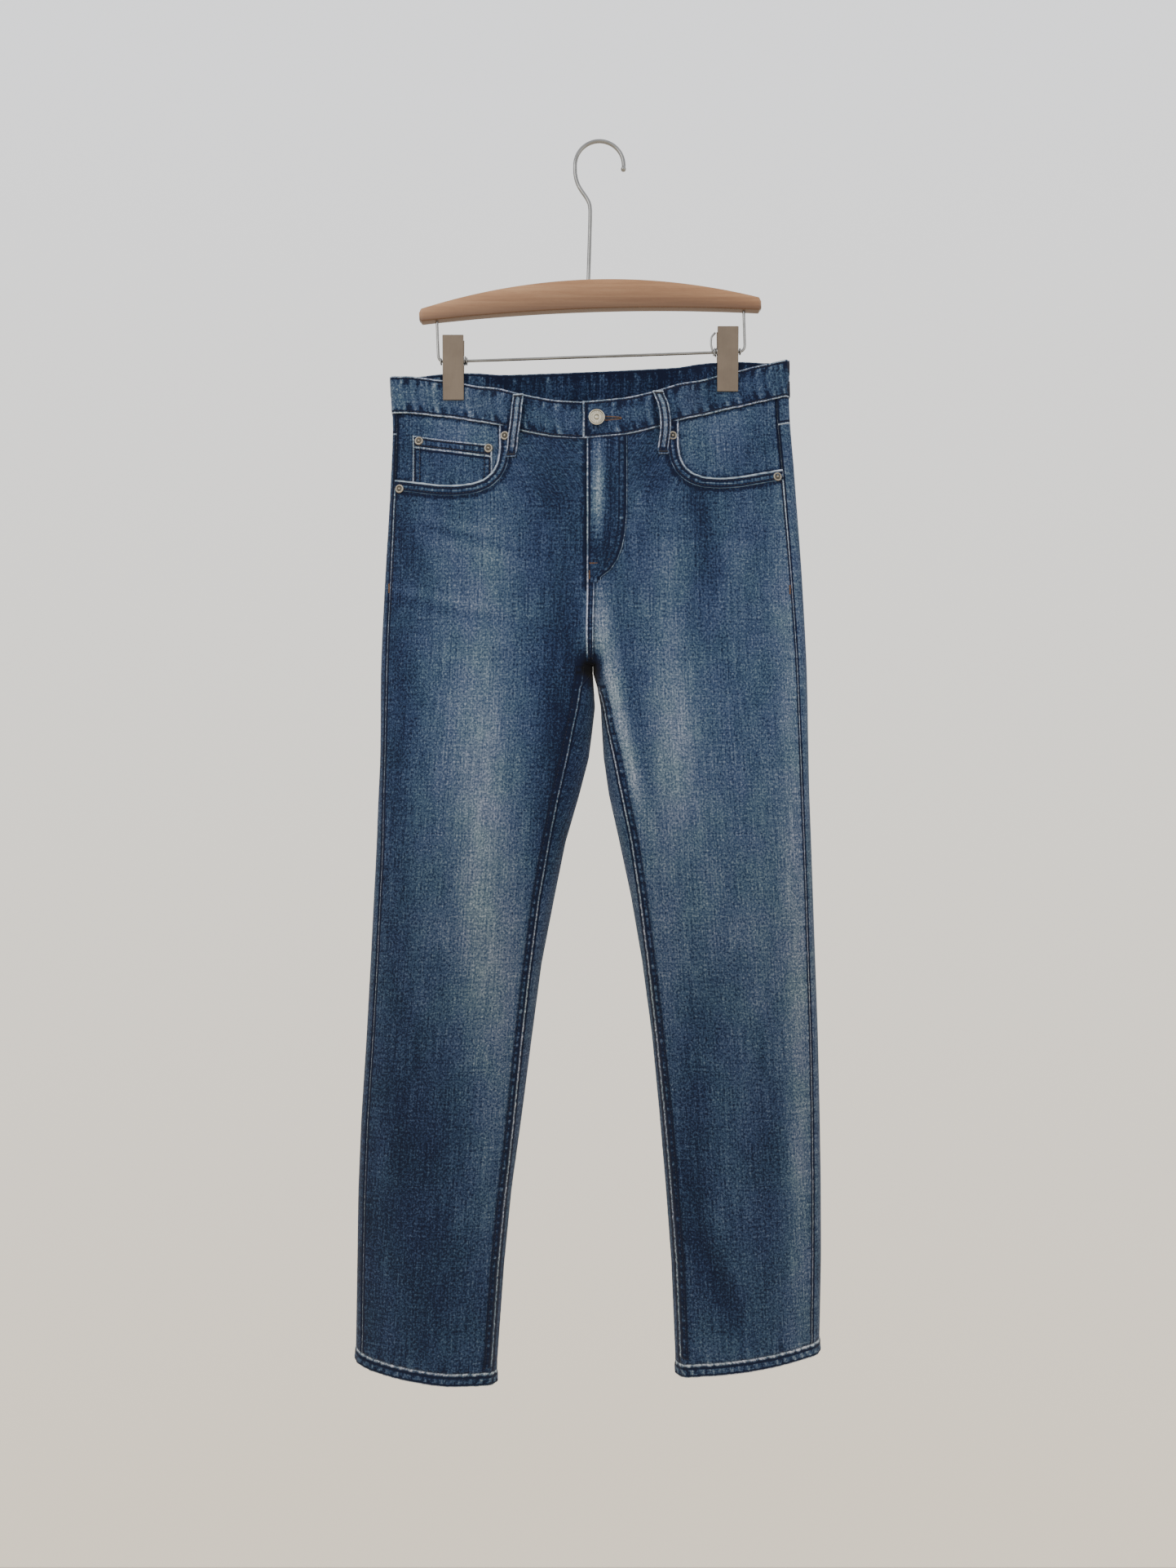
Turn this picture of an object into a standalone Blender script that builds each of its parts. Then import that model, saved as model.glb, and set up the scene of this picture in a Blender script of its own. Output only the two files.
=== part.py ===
"""Blue five-pocket jeans that hang by the waistband from a wooden clip hanger.

Blender works in metres, +Z up. Sizes below are millimetres, and place() turns them into metres.
X runs to the viewer's right, the garment's front faces -Y, and the origin is the inside top of the
hanger's hook, where a peg or rail holds it. On the garment, x is measured from its centre line and
drop is the distance down from the top of the waistband at the side folds.
"""

import math

import bmesh
import bpy
import numpy as np
from mathutils import Matrix, Vector

MM = 0.001
TINY = 1e-9

# Driving sizes of the garment
CENTRE_X = -11.4
WAIST_Z = -243.2
HANG_SLOPE = math.tan(math.radians(1.5))
WAIST_HALF = 214.0
BAND_HEIGHT = 40.0
CORNER_LIFT_LEFT = -4.0
CORNER_LIFT_RIGHT = 2.6
BACK_RISE = 2.0
CROTCH_DROP = 328.0
HEM_DROP = 1062.0
HEM_DIP = 8.0
HEM_HEIGHT = 14.0
HEM_SHARES = (0.0, 0.13, 0.30, 0.47, 0.64, 0.81, 0.93, 1.0)
HEM_SAG = {-1: (-4.0, 0.0, 2.0, 3.4, 6.0, 8.0, 10.5, 14.0), 1: (0.5, 0.0, 0.0, 0.0, 1.2, 4.0, 7.6, 10.0)}
OUTSEAM_GAP = 0.6
INSEAM_STEP = 0.0035
SEAM_GAP = 0.3
BAND_GAP = 0.8
LAY_GAP = 0.75

# Cloth walls
PANEL_WALL = 1.2
BAND_WALL = 2.2
BAND_PROUD = 0.8
HEM_WALL = 2.4
HEM_PROUD = 0.5
PATCH_WALL = 1.0
FELL_WALL = 0.7

# How far the waistband's front dips towards the button: distance from the centre line, dip
DIP_ROWS = (
    (0, 44.0),
    (40, 41.0),
    (70, 34.0),
    (107, 22.0),
    (136, 12.0),
    (160, 7.0),
    (190, 2.0),
    (214, 0.0),
)

# Depth of the garment: drop, front bulge, back bulge, radius of the side fold, fullness, and the fold plane's
# place outside and inside
DEPTH_ROWS = (
    (0, 26, 15, 4.0, 1.00, 0, 0),
    (44, 28, 17, 4.0, 1.00, 0, 0),
    (84, 31, 23, 4.5, 0.95, 0, 0),
    (140, 34, 36, 6.0, 0.85, 0, 0),
    (220, 35, 46, 8.0, 0.75, 0, 2),
    (328, 36, 46, 9.0, 0.68, 0, 4),
    (420, 37, 42, 9.0, 0.62, 0, 4),
    (570, 37, 37, 9.0, 0.60, 0, 2),
    (720, 36, 34, 9.0, 0.60, 1, -2),
    (880, 34, 31, 9.0, 0.60, 2, -6),
    (1080, 32, 29, 9.0, 0.62, 3, -9),
)

# Outline of each leg, from the centre line outwards: drop, outer edge, inner edge, width of back panel that
# shows outside the outseam, width of back panel that shows inside the inseam.
LEFT_LEG = (
    (0, 213.5, -4.4, 4.5, 0.0),
    (60, 211.0, -4.4, 4.5, 0.0),
    (120, 213.5, -4.4, 5.0, 0.0),
    (220, 219.5, -4.4, 7.5, 0.0),
    (290, 223.0, -4.4, 8.0, 0.0),
    (328, 224.3, -4.4, 8.2, 0.0),
    (345, 224.3, -5.5, 8.0, 14.0),
    (365, 224.3, -6.7, 7.5, 18.0),
    (390, 224.4, -3.9, 7.2, 20.5),
    (420, 224.9, 0.0, 7.2, 22.5),
    (460, 226.9, 10.5, 8.2, 21.0),
    (510, 228.7, 25.1, 9.2, 16.5),
    (570, 231.8, 37.3, 9.5, 15.5),
    (640, 235.5, 50.9, 9.8, 11.0),
    (720, 240.0, 61.5, 9.6, 9.5),
    (800, 245.3, 71.8, 9.6, 7.5),
    (880, 248.7, 82.9, 9.8, 5.6),
    (960, 249.9, 90.8, 9.2, 5.2),
    (1062, 251.6, 98.0, 9.6, 4.8),
)
RIGHT_LEG = (
    (0, 215.0, 4.7, 14.0, 0.0),
    (60, 216.5, 4.7, 14.0, 0.0),
    (120, 221.5, 4.7, 13.5, 0.0),
    (220, 229.0, 4.7, 13.5, 0.0),
    (290, 233.0, 4.7, 12.8, 0.0),
    (328, 234.8, 4.7, 12.4, 0.0),
    (345, 235.2, 9.5, 12.2, 1.0),
    (365, 235.7, 12.8, 12.0, 3.0),
    (390, 236.1, 14.1, 11.6, 6.5),
    (420, 236.6, 16.0, 11.0, 11.0),
    (460, 237.4, 21.7, 10.4, 13.0),
    (510, 239.2, 32.8, 10.2, 12.0),
    (570, 241.3, 45.5, 10.2, 8.5),
    (640, 243.8, 57.4, 10.4, 5.5),
    (720, 246.8, 68.0, 10.8, 4.0),
    (800, 248.8, 75.6, 11.0, 4.5),
    (880, 250.2, 82.4, 11.6, 4.6),
    (960, 250.6, 88.3, 12.0, 4.6),
    (1062, 248.8, 92.6, 11.4, 4.4),
)
LEGS = {-1: np.array(LEFT_LEG), 1: np.array(RIGHT_LEG)}
DEPTH = np.array(DEPTH_ROWS, float)
DIP = np.array(DIP_ROWS)

# The rise turns under to the crotch over these heights, and leans to the crotch's place on the way
FRONT_FORK_HEIGHT = 44.0
BACK_FORK_HEIGHT = 84.0
CROTCH_X = 4.5
LEAN_DROP = 225.0

# Radius of the round inner side of a leg, at the crotch and lower down, and where the section's fullest point
# starts and ends its way from the centre line to the middle of the leg
CROTCH_ROUND = 24.0
INNER_ROUND = 11.0
INNER_ROUND_DROP = 520.0
PEAK_START_DROP = 190.0
PEAK_END_DROP = 470.0

# Stations round half the waistband, from the side fold to the centre line, and the laps past it
BAND_STATIONS = (
    213.0, 211.0, 206.0, 197.0, 186.0, 174.0, 161.0, 147.0, 133.0, 120.0, 104.0, 84.0, 62.0, 40.0, 18.0, 3.0
)
LAP_LENGTH = -6.5
UNDERLAP_LENGTH = 32.0

# Clips that pinch the waistband
CLIP_X = 147.4
CLIP_SHIFT = 1.8
CLIP_HALF_WIDTH = 11.3
PINCH_HALF_DEPTH = 1.9
PINCH_FLAT = 14.0
PINCH_REACH = 56.0
PINCH_FULL_DROP = 36.0
PINCH_END_DROP = 88.0

# Rows down the panels, and the row where each back panel is made in two solids, the seat and the leg
UPPER_ROWS = (130, 170, 215, 242, 262, 280, 296, 308, 317, 323, 326.5, 328)
LOWER_ROWS = (333, 342, 356, 376, 404, 445, 500, 560, 630, 710, 790, 870, 950, 1010)
BACK_SPLIT_DROP = 376

# Front pocket opening: distance from the centre line, drop
POCKET_CURVE = (
    (240, 112),
    (204, 117.5),
    (184, 121.5),
    (160, 126.3),
    (140, 128),
    (122, 127),
    (110, 123.3),
    (101, 116),
    (96, 106),
    (93.8, 92),
    (94, 74),
    (94, 20),
)
FACING_INNER_X = 88.0
FACING_BOTTOM_DROP = 139.0
FACING_DEPTH = 2.9
FACING_TUCK = 1.0

# Coin pocket, on the facing at the viewer's left
COIN_LEFT_X = -189.0
COIN_RIGHT_X = -102.5
COIN_TOP_DROP = 69.0
COIN_TOP_FALL = 17.0
COIN_DEPTH = 1.5
COIN_WALL = 0.6
COIN_EDGE_GAP = 1.2

# Fly: the stitched J, from its folded edge: drop, right edge
FLY_LEFT_X = -2.0
FLY_ROWS = (
    (86, 38.5),
    (112, 38.6),
    (140, 38.6),
    (165, 38.3),
    (185, 36.5),
    (200, 33.5),
    (213, 28.5),
    (223, 21.5),
    (231, 11.0),
)
RISE_FELL_X = 3.4
RISE_FELL_WIDTH = 11.0
INSEAM_FELL_WIDTH = 8.5
INSEAM_FELL_END = {-1: 1063.0, 1: 1059.0}
BACK_FELL_WIDTH = 9.0

# Back yoke and patch pockets
YOKE_CENTRE_DROP = 116.0
YOKE_SIDE_DROP = 66.0
POCKET_TOP_INNER = (42.0, 146.0)
POCKET_TOP_OUTER = (182.0, 130.0)
POCKET_SIDE_INNER = (56.0, 278.0)
POCKET_SIDE_OUTER = (178.0, 268.0)
POCKET_POINT = (118.0, 298.0)

# Belt loops: centre at the top, centre at the bottom, on the front or the back
LOOP_WIDTH = 11.5
LOOP_WALL = 1.2
LOOP_CLEARANCE = 6.0
LOOP_OVERHANG = 31.0
BACK_LOOP_OVERHANG = 12.0
LOOP_ROWS = (
    ("belt_loop_front_left", -1, -75.0, -83.0),
    ("belt_loop_front_right", -1, 76.0, 79.0),
    ("belt_loop_back_left", 1, -84.0, -84.0),
    ("belt_loop_back_right", 1, 84.0, 84.0),
    ("belt_loop_back_centre", 1, 0.0, 0.0),
)

# Hardware
BUTTON_X = 8.2
BUTTON_DROP = 63.5
BUTTON_RADIUS = 8.6
RIVET_RADIUS = 4.9
RIVET_ROWS = (
    ("rivet_left_outer", -202.5, 126.5, 0.0),
    ("rivet_left_inner", -88.6, 77.5, 0.0),
    ("rivet_coin_outer", -182.0, 75.4, -COIN_DEPTH),
    ("rivet_coin_inner", -106.4, 89.3, -COIN_DEPTH),
    ("rivet_right_outer", 201.5, 124.5, 0.0),
    ("rivet_right_inner", 88.4, 82.0, 0.0),
)

# Hanger, measured in its own level frame and turned by its tilt
HANGER_TILT = math.radians(1.95)
BAR_X = -10.5
BAR_TOP_Z = -149.0
BAR_HALF_LENGTH = 184.0
BAR_HEIGHT = 31.5
BAR_TOP_FALL = 26.0
BAR_BOTTOM_FALL = 7.7
BAR_THICKNESS = 12.5
BAR_EDGE_RADIUS = 2.2
HOOK_WIRE_RADIUS = 2.15
HOOK_RADIUS = 26.3
HANG_WIRE_RADIUS = 1.5
HANG_WIRE_X = 165.4
HANG_WIRE_Z = -230.4
HANG_WIRE_BEND = 6.0
CLIP_TOP_Z = -205.1
CLIP_TILT_RISE = 4.6
CLIP_HEIGHT = 68.5
CLIP_WALL = 1.4
CLIP_TOP_SPREAD = 4.5
SPRING_INNER_REACH = 15.0
SPRING_OUTER_REACH = 9.0

DENIM = (0.075, 0.125, 0.21)
WOOD = (0.50, 0.33, 0.21)
STEEL = (0.62, 0.62, 0.60)
NICKEL = (0.46, 0.42, 0.36)
BUTTON_METAL = (0.72, 0.70, 0.62)


def smooth_step(value, low, high):
    """0 below low, 1 above high, with level ends."""
    t = np.clip((value - low) / (high - low), 0.0, 1.0)
    return t * t * (3.0 - 2.0 * t)


def round_end(distance):
    """Height of a round end of radius 1 at a distance in from its tip, level from 1 on."""
    inside = 1.0 - np.clip(distance, 0.0, 1.0)
    return np.sqrt(np.maximum(1.0 - inside * inside, 0.0))


def soft_rows(table, drop, column):
    """A table's column at a drop, along straight runs whose corners are eased over 24 mm."""
    spread = (-12.0, -6.0, 0.0, 6.0, 12.0)
    total = sum(np.interp(drop + s, table[:, 0], table[:, column]) for s in spread)
    return total / len(spread)


def band_top(x, face):
    """Drop of the waistband's top edge: a dip at the front, nearly straight at the back."""
    reach = np.minimum(np.abs(x), WAIST_HALF)
    dip = sum(np.interp(reach + s, DIP[:, 0], DIP[:, 1]) for s in (-8.0, 0.0, 8.0)) / 3.0
    front = dip * smooth_step(WAIST_HALF - reach, 0.0, 12.0)
    lift = np.where(x > 0, CORNER_LIFT_RIGHT, CORNER_LIFT_LEFT)
    start = np.where(x > 0, 190.0, 120.0)
    share = np.clip((reach - start) / (WAIST_HALF - start), 0.0, 1.0)
    front = front - lift * share**2 * (3.0 - 2.0 * share)
    back = -BACK_RISE * smooth_step(WAIST_HALF - reach, 0.0, 60.0)
    back = back - lift * reach / WAIST_HALF
    return np.where(face < 0, front, back)


def yoke_seam(x):
    """Drop of the seam under the back yoke, a shallow V."""
    share = np.minimum(np.abs(x) / WAIST_HALF, 1.0)
    return YOKE_CENTRE_DROP + (YOKE_SIDE_DROP - YOKE_CENTRE_DROP) * share


def column_turn(drop):
    """How far the columns' cosine spacing turns.

    It is a quarter turn at the top, dense at the side fold only, and half a turn from the crotch down, dense
    at both folds.
    """
    return math.pi / 2 * (1.0 + smooth_step(drop, LEAN_DROP, CROTCH_DROP))


def rise_x(drop):
    """x of the rise seams: the centre line, leaning to the crotch's place at the fork."""
    return CROTCH_X * smooth_step(drop, LEAN_DROP, CROTCH_DROP)


def inner_edge(side, drop):
    """Distance of a leg's inner edge from the centre line: the rise above the crotch, the fold below it."""
    leg = LEGS[side]
    above = side * rise_x(drop) + SEAM_GAP / 2
    return np.where(drop <= CROTCH_DROP, above, np.interp(drop, leg[:, 0], leg[:, 2]))


def garment_section(side, across, drop, face):
    """A point of the outer cloth. across runs 0 to 1 from the side fold to the rise or the inner fold.

    The slice is a fold of small radius at the side, plus a bulge that follows a power of a sine. Its
    fullest point is the centre line at the top and the middle of the leg lower down. A round end closes it
    towards the inner fold and, above the crotch, also towards the fork.
    """
    leg = LEGS[side]
    outer = soft_rows(leg, drop, 1)
    width = outer - inner_edge(side, drop)
    front = face < 0
    bulge = np.where(front, soft_rows(DEPTH, drop, 1), soft_rows(DEPTH, drop, 2))
    fold = soft_rows(DEPTH, drop, 3)
    fullness = soft_rows(DEPTH, drop, 4)
    plane_out = soft_rows(DEPTH, drop, 5)
    plane_in = soft_rows(DEPTH, drop, 6)
    turn = column_turn(drop)
    part = (1.0 - np.cos(turn * across)) / (1.0 - np.cos(turn))
    run = part * width
    peak = math.pi / 2 * (1.0 + smooth_step(drop, PEAK_START_DROP, PEAK_END_DROP))
    body = np.power(np.maximum(np.sin(peak * part), TINY), fullness)
    below_crotch = smooth_step(drop, CROTCH_DROP, INNER_ROUND_DROP)
    inner_round = CROTCH_ROUND + (INNER_ROUND - CROTCH_ROUND) * below_crotch
    above_crotch = np.maximum(CROTCH_DROP - drop, 0.0) / np.where(front, FRONT_FORK_HEIGHT, BACK_FORK_HEIGHT)
    to_inner = np.hypot((width - run) / inner_round, above_crotch)
    depth = (fold * round_end(run / fold) + (bulge - fold) * body) * round_end(to_inner)
    x = side * (outer - run)
    gap = np.abs(np.abs(x) - CLIP_X)
    pinch = 1.0 - smooth_step(gap, PINCH_FLAT, PINCH_REACH)
    pinch = pinch * (1.0 - smooth_step(drop, PINCH_FULL_DROP, PINCH_END_DROP))
    depth = depth * (1.0 - pinch) + PINCH_HALF_DEPTH * pinch
    y = plane_out + (plane_in - plane_out) * part + face * depth
    return x, y


def across_at(side, x, drop):
    """The across value whose section point has this x, from the section's own formula turned round."""
    outer = soft_rows(LEGS[side], drop, 1)
    turn = column_turn(drop)
    part = np.clip((outer - side * x) / (outer - inner_edge(side, drop)), 0.0, 1.0)
    return np.arccos(1.0 - part * (1.0 - np.cos(turn))) / turn


def garment_points(side, around, drop):
    """Section points for around: -1 to 0 is the front from rise to side fold, 0 to 1 the back, and past 1 the
    back panel comes round the inner fold on to the front."""
    face = np.where((around < 0) | (around > 1), -1.0, 1.0)
    across = np.where(around < 0, -around, np.where(around > 1, 2.0 - around, around))
    x, y = garment_section(side, across, drop, face)
    return np.stack([x, y, -drop], axis=-1)


def surface_points(side, around, drop, out):
    """Section points moved out along the cloth's normal, from central differences of the surface."""
    step_a, step_d = 0.004, 1.0
    p = garment_points(side, around, drop)
    if np.all(np.asarray(out) == 0.0):
        return p
    low, high = np.maximum(around - step_a, -1.0), around + step_a
    low = np.where((around > 1.0), np.maximum(low, 1.0 + 1e-6), low)
    high = np.where((around <= 1.0) & (drop <= CROTCH_DROP), np.minimum(high, 1.0), high)
    da = garment_points(side, high, drop) - garment_points(side, low, drop)
    dd = garment_points(side, around, drop + step_d) - garment_points(side, around, drop - step_d)
    normal = np.cross(da, dd) * -side
    length = np.linalg.norm(normal, axis=-1, keepdims=True)
    return p + normal / np.maximum(length, 1e-9) * np.asarray(out)[..., None]


def place(points):
    """Garment points (x, y, -drop) in mm to world metres, with the garment's slope on the hanger."""
    world = np.empty_like(points)
    world[..., 0] = points[..., 0] + CENTRE_X
    world[..., 1] = points[..., 1]
    world[..., 2] = WAIST_Z + points[..., 2] + points[..., 0] * HANG_SLOPE
    return world * MM


def make_material(name, colour, roughness, metallic=0.0):
    material = bpy.data.materials.new(name)
    material.use_nodes = True
    shader = material.node_tree.nodes["Principled BSDF"]
    shader.inputs["Base Color"].default_value = (*colour, 1.0)
    shader.inputs["Roughness"].default_value = roughness
    shader.inputs["Metallic"].default_value = metallic
    material.diffuse_color = (*colour, 1.0)
    return material


def add_object(name, mesh, material):
    obj = bpy.data.objects.new(name, mesh)
    obj.data.materials.append(material)
    PARTS.objects.link(obj)
    return obj


def grid_mesh(name, points, closed=False):
    """An open sheet of quads through a grid of world points (rows, columns, 3)."""
    rows, columns = points.shape[:2]
    index = np.arange(rows * columns).reshape(rows, columns)
    if closed:
        index = np.concatenate([index, index[:, :1]], axis=1)
    quads = np.stack([index[:-1, :-1], index[1:, :-1], index[1:, 1:], index[:-1, 1:]], axis=-1)
    mesh = bpy.data.meshes.new(name)
    mesh.from_pydata(points.reshape(-1, 3).tolist(), [], quads.reshape(-1, 4).tolist())
    mesh.update()
    return mesh


def sheet(name, points, wall, outward, material, closed=False):
    """A cloth wall: the sheet through the points, thickened inwards by Solidify.

    outward is a direction that the sheet's middle faces, which decides the side that the wall grows from.
    """
    mesh = grid_mesh(name, points, closed)
    across = points.shape[1] - (not closed)
    middle = mesh.polygons[(points.shape[0] - 1) // 2 * across + points.shape[1] // 2]
    if middle.normal.dot(Vector(outward)) < 0:
        mesh.flip_normals()
    obj = add_object(name, mesh, material)
    solidify = obj.modifiers.new("Wall", "SOLIDIFY")
    solidify.thickness = wall * MM
    solidify.offset = -1.0
    solidify.use_even_offset = False
    mesh.shade_smooth()
    return obj


def panel_rows(top, first_full, columns):
    """Drops of a panel's rows: two eased rows under the shaped top edge, then the shared rows to the hem."""
    rows = [top, top + (first_full - top) * 0.36, top + (first_full - top) * 0.70]
    rows += [np.full(columns, float(d)) for d in UPPER_ROWS + LOWER_ROWS if d >= first_full]
    return rows


def hem_line(side, x):
    """Drop of the hem at x: lowest towards the inseam, as the leg hangs."""
    leg = LEGS[side]
    outer, inner = leg[-1, 1], leg[-1, 2]
    part = np.clip((outer - side * x) / (outer - inner), 0.0, 1.0)
    return HEM_DROP + HEM_DIP * smooth_step(part, -0.15, 0.75) + np.interp(part, HEM_SHARES, HEM_SAG[side])


def outer_offset(side, offset, drop):
    """across of the point that lies offset mm in from the side fold."""
    return across_at(side, side * (soft_rows(LEGS[side], drop, 1) - offset), drop)


def inseam_across(side, drop):
    """Where the inseam lies on the front, as an across value, at each drop below the crotch."""
    inset = np.interp(drop, LEGS[side][:, 0], LEGS[side][:, 4])
    return across_at(side, side * (inner_edge(side, drop) + inset), drop)


def fixed_drop(function, x_of, guess):
    """Repeats drop = function(x) and x = x_of(drop) until they agree."""
    drop = guess
    for _ in range(4):
        drop = function(x_of(drop))
    return drop


def fork_step(drop):
    """Half the gap between front and back where the rises meet at the crotch, as an across step."""
    return 2.0 * INSEAM_STEP * smooth_step(drop, 290.0, 326.0)


def front_panel(side):
    """The front: from the outseam to the rise and, below the crotch, to the inseam."""
    share = FRONT_SHARES
    columns = len(share)

    def across(drop):
        start = outer_offset(side, soft_rows(LEGS[side], drop, 3) + OUTSEAM_GAP / 2, drop)
        end = np.where(drop > CROTCH_DROP, inseam_across(side, drop) - INSEAM_STEP, 1.0 - fork_step(drop))
        return start + (end - start) * share

    def x_of(drop):
        return garment_section(side, across(drop), drop, -1.0)[0]

    top = fixed_drop(lambda x: band_top(x, -1.0) + BAND_HEIGHT + BAND_GAP, x_of, np.full(columns, 60.0))
    rows = panel_rows(top, 130, columns)
    bottom = fixed_drop(lambda x: hem_line(side, x) - HEM_HEIGHT - SEAM_GAP, x_of, np.full(columns, 1050.0))
    rows.append(bottom)
    grid = np.array([surface_points(side, -across(d), d, 0.0) for d in rows])
    return sheet(f"front_{SIDE_NAMES[side]}", place(grid), PANEL_WALL, (0, -1, 0), DENIM_CLOTH)


def back_across(side, drop, share):
    """around values of the back panel's columns.

    They run from the outseam on the front, over the side fold, across the back and, below the crotch, round
    the inner fold to the inseam.
    """
    start = -outer_offset(side, soft_rows(LEGS[side], drop, 3) - OUTSEAM_GAP / 2, drop)
    end = np.where(drop > CROTCH_DROP, 2.0 - inseam_across(side, drop) - INSEAM_STEP, 1.0 - fork_step(drop))
    even = end * (share - BACK_FOLD_SHARE) / (1.0 - BACK_FOLD_SHARE)
    to_fold = (share - BACK_FOLD_SHARE) / (BACK_INNER_SHARE - BACK_FOLD_SHARE)
    past_fold = 1.0 + (end - 1.0) * (share - BACK_INNER_SHARE) / (1.0 - BACK_INNER_SHARE)
    folded = np.where(share <= BACK_INNER_SHARE, to_fold, past_fold)
    body = np.where(drop > CROTCH_DROP, even + (folded - even) * smooth_step(drop, *FOLD_COLUMN_DROPS), even)
    return np.where(share < BACK_FOLD_SHARE, start * (1.0 - share / BACK_FOLD_SHARE), body)


def back_panel(side):
    """The back, from the yoke seam to the hem: two solids that meet below the fork, the seat and the leg."""
    share = BACK_SHARES
    columns = len(share)

    def x_of(drop):
        return garment_points(side, back_across(side, drop, share), drop)[..., 0]

    top = fixed_drop(lambda x: yoke_seam(x) + SEAM_GAP / 2, x_of, np.full(columns, 90.0))
    rows = panel_rows(top, 130, columns)
    bottom = fixed_drop(lambda x: hem_line(side, x) - HEM_HEIGHT - SEAM_GAP, x_of, np.full(columns, 1050.0))
    rows.append(bottom)
    split = next(i for i, drop in enumerate(rows) if np.all(drop == BACK_SPLIT_DROP))
    seat = rows[:split] + [rows[split] - SEAM_GAP / 2]
    leg = [rows[split] + SEAM_GAP / 2] + rows[split + 1:]
    for name, part in (("back", seat), ("back_leg", leg)):
        grid = np.array([surface_points(side, back_across(side, d, share), d, 0.0) for d in part])
        sheet(f"{name}_{SIDE_NAMES[side]}", place(grid), PANEL_WALL, (0, 1, 0), DENIM_CLOTH)


def back_yoke(side):
    """The yoke between the waistband and the back panel, deepest at the centre back."""
    share = BACK_SHARES
    columns = len(share)

    def x_of(drop):
        return garment_points(side, back_across(side, drop, share), drop)[..., 0]

    face = np.where(share < BACK_FOLD_SHARE, -1.0, 1.0)
    top = fixed_drop(lambda x: band_top(x, face) + BAND_HEIGHT + BAND_GAP, x_of, np.full(columns, 40.0))
    bottom = fixed_drop(lambda x: yoke_seam(x) - SEAM_GAP / 2, x_of, np.full(columns, 90.0))
    rows = [top + (bottom - top) * t for t in (0.0, 0.34, 0.67, 1.0)]
    grid = np.array([surface_points(side, back_across(side, d, share), d, 0.0) for d in rows])
    return sheet(f"yoke_{SIDE_NAMES[side]}", place(grid), PANEL_WALL, (0, 1, 0), DENIM_CLOTH)


def band_point(side, face, reach, below_top):
    """An outer point of the waistband at a distance from the centre line, some way below its top edge.

    A reach beyond the centre line is a lap, which runs straight on. The left end passes behind the right one.
    """
    x = side * max(reach, 0.1)
    drop = np.array([float(band_top(np.array(x), face)) + below_top])
    outer = float(soft_rows(LEGS[side], drop, 1)[0])
    across = across_at(side, np.array([side * min(max(reach, 0.1), outer)]), drop)
    if reach >= BAND_STATIONS[0]:
        across = np.zeros(1)
    under = 0.0
    if side < 0 and face < 0:
        under = (BAND_WALL + LAY_GAP) * float(smooth_step(np.array(-reach), -60.0, -12.0))
    around = -across if face < 0 else across
    point = surface_points(side, around, drop, np.array([BAND_PROUD - under]))[0]
    return np.array([point[0] - side * max(0.1 - reach, 0.0), point[1], -float(drop[0])])


def waistband():
    """One strip round the waist: from the lapping end at centre front, over the viewer's right side, the back
    and the left side, to the underlap that lies behind the lapping end."""
    columns = [(1, -1.0, LAP_LENGTH)]
    columns += [(1, -1.0, x) for x in BAND_STATIONS[::-1]]
    columns += [(1, 1.0, x) for x in BAND_STATIONS[1:-1]] + [(1, 1.0, 0.0)]
    columns += [(-1, 1.0, x) for x in BAND_STATIONS[-2:0:-1]]
    columns += [(-1, -1.0, x) for x in BAND_STATIONS] + [(-1, -1.0, -UNDERLAP_LENGTH)]
    rows = []
    for share in (0.0, 0.35, 0.7, 1.0):
        row = []
        for side, face, reach in columns:
            row.append(band_point(side, face, reach, BAND_HEIGHT * share))
        rows.append(row)
    return sheet("waistband", place(np.array(rows)), BAND_WALL, (0, 1, 0), DENIM_CLOTH)


def hem_ring(side):
    """The turned-up hem, a thicker ring all round the leg's end."""
    share = np.linspace(0.0, 1.0, 13)[:-1]
    outer = np.concatenate([-(1.0 - share), share])
    rows = []
    for lift in (HEM_HEIGHT, HEM_HEIGHT * 0.45, 0.0):
        drop = np.full(len(outer), HEM_DROP)
        for _ in range(4):
            x = garment_points(side, outer, drop)[..., 0]
            drop = hem_line(side, x) - lift
        rows.append(surface_points(side, outer, drop, np.full(len(outer), HEM_PROUD)))
    points = place(np.array(rows))
    return sheet(f"hem_{SIDE_NAMES[side]}", points, HEM_WALL, (0, 1, 0), DENIM_CLOTH, closed=True)


def face_patch(name, xs, drops, face, out, wall, material):
    """A piece that lies on the garment: a grid of (x, drop) on one face, moved out from the panel."""
    side = np.where(xs < rise_x(drops), -1, 1)
    points = np.zeros(xs.shape + (3,))
    for s in (-1, 1):
        across = across_at(s, xs, drops)
        around = np.where(face < 0, -across, across)
        moved = surface_points(s, around, drops, np.full(xs.shape, out))
        points[side == s] = moved[side == s]
    return sheet(name, place(points), wall, (0, face, 0), material)


def lattice(left, right, top, bottom, columns, rows):
    """x and drop grids between two side lines (x at a drop) and two end lines (drop at an x)."""
    u = np.linspace(0.0, 1.0, columns)
    v = np.linspace(0.0, 1.0, rows)
    xs = np.zeros((rows, columns))
    drops = np.zeros((rows, columns))
    for i, t in enumerate(v):
        drop = np.full(columns, 80.0)
        x = np.zeros(columns)
        for _ in range(6):
            x = left(drop) + (right(drop) - left(drop)) * u
            drop = top(x) + (bottom(x) - top(x)) * t
        xs[i], drops[i] = x, drop
    return xs, drops


def pocket_curve_drop(x):
    """Drop of the front pocket's opening edge at a distance from the centre line."""
    rows = np.array(POCKET_CURVE[::-1], float)
    return np.interp(np.abs(x), rows[:, 0], rows[:, 1])


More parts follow.
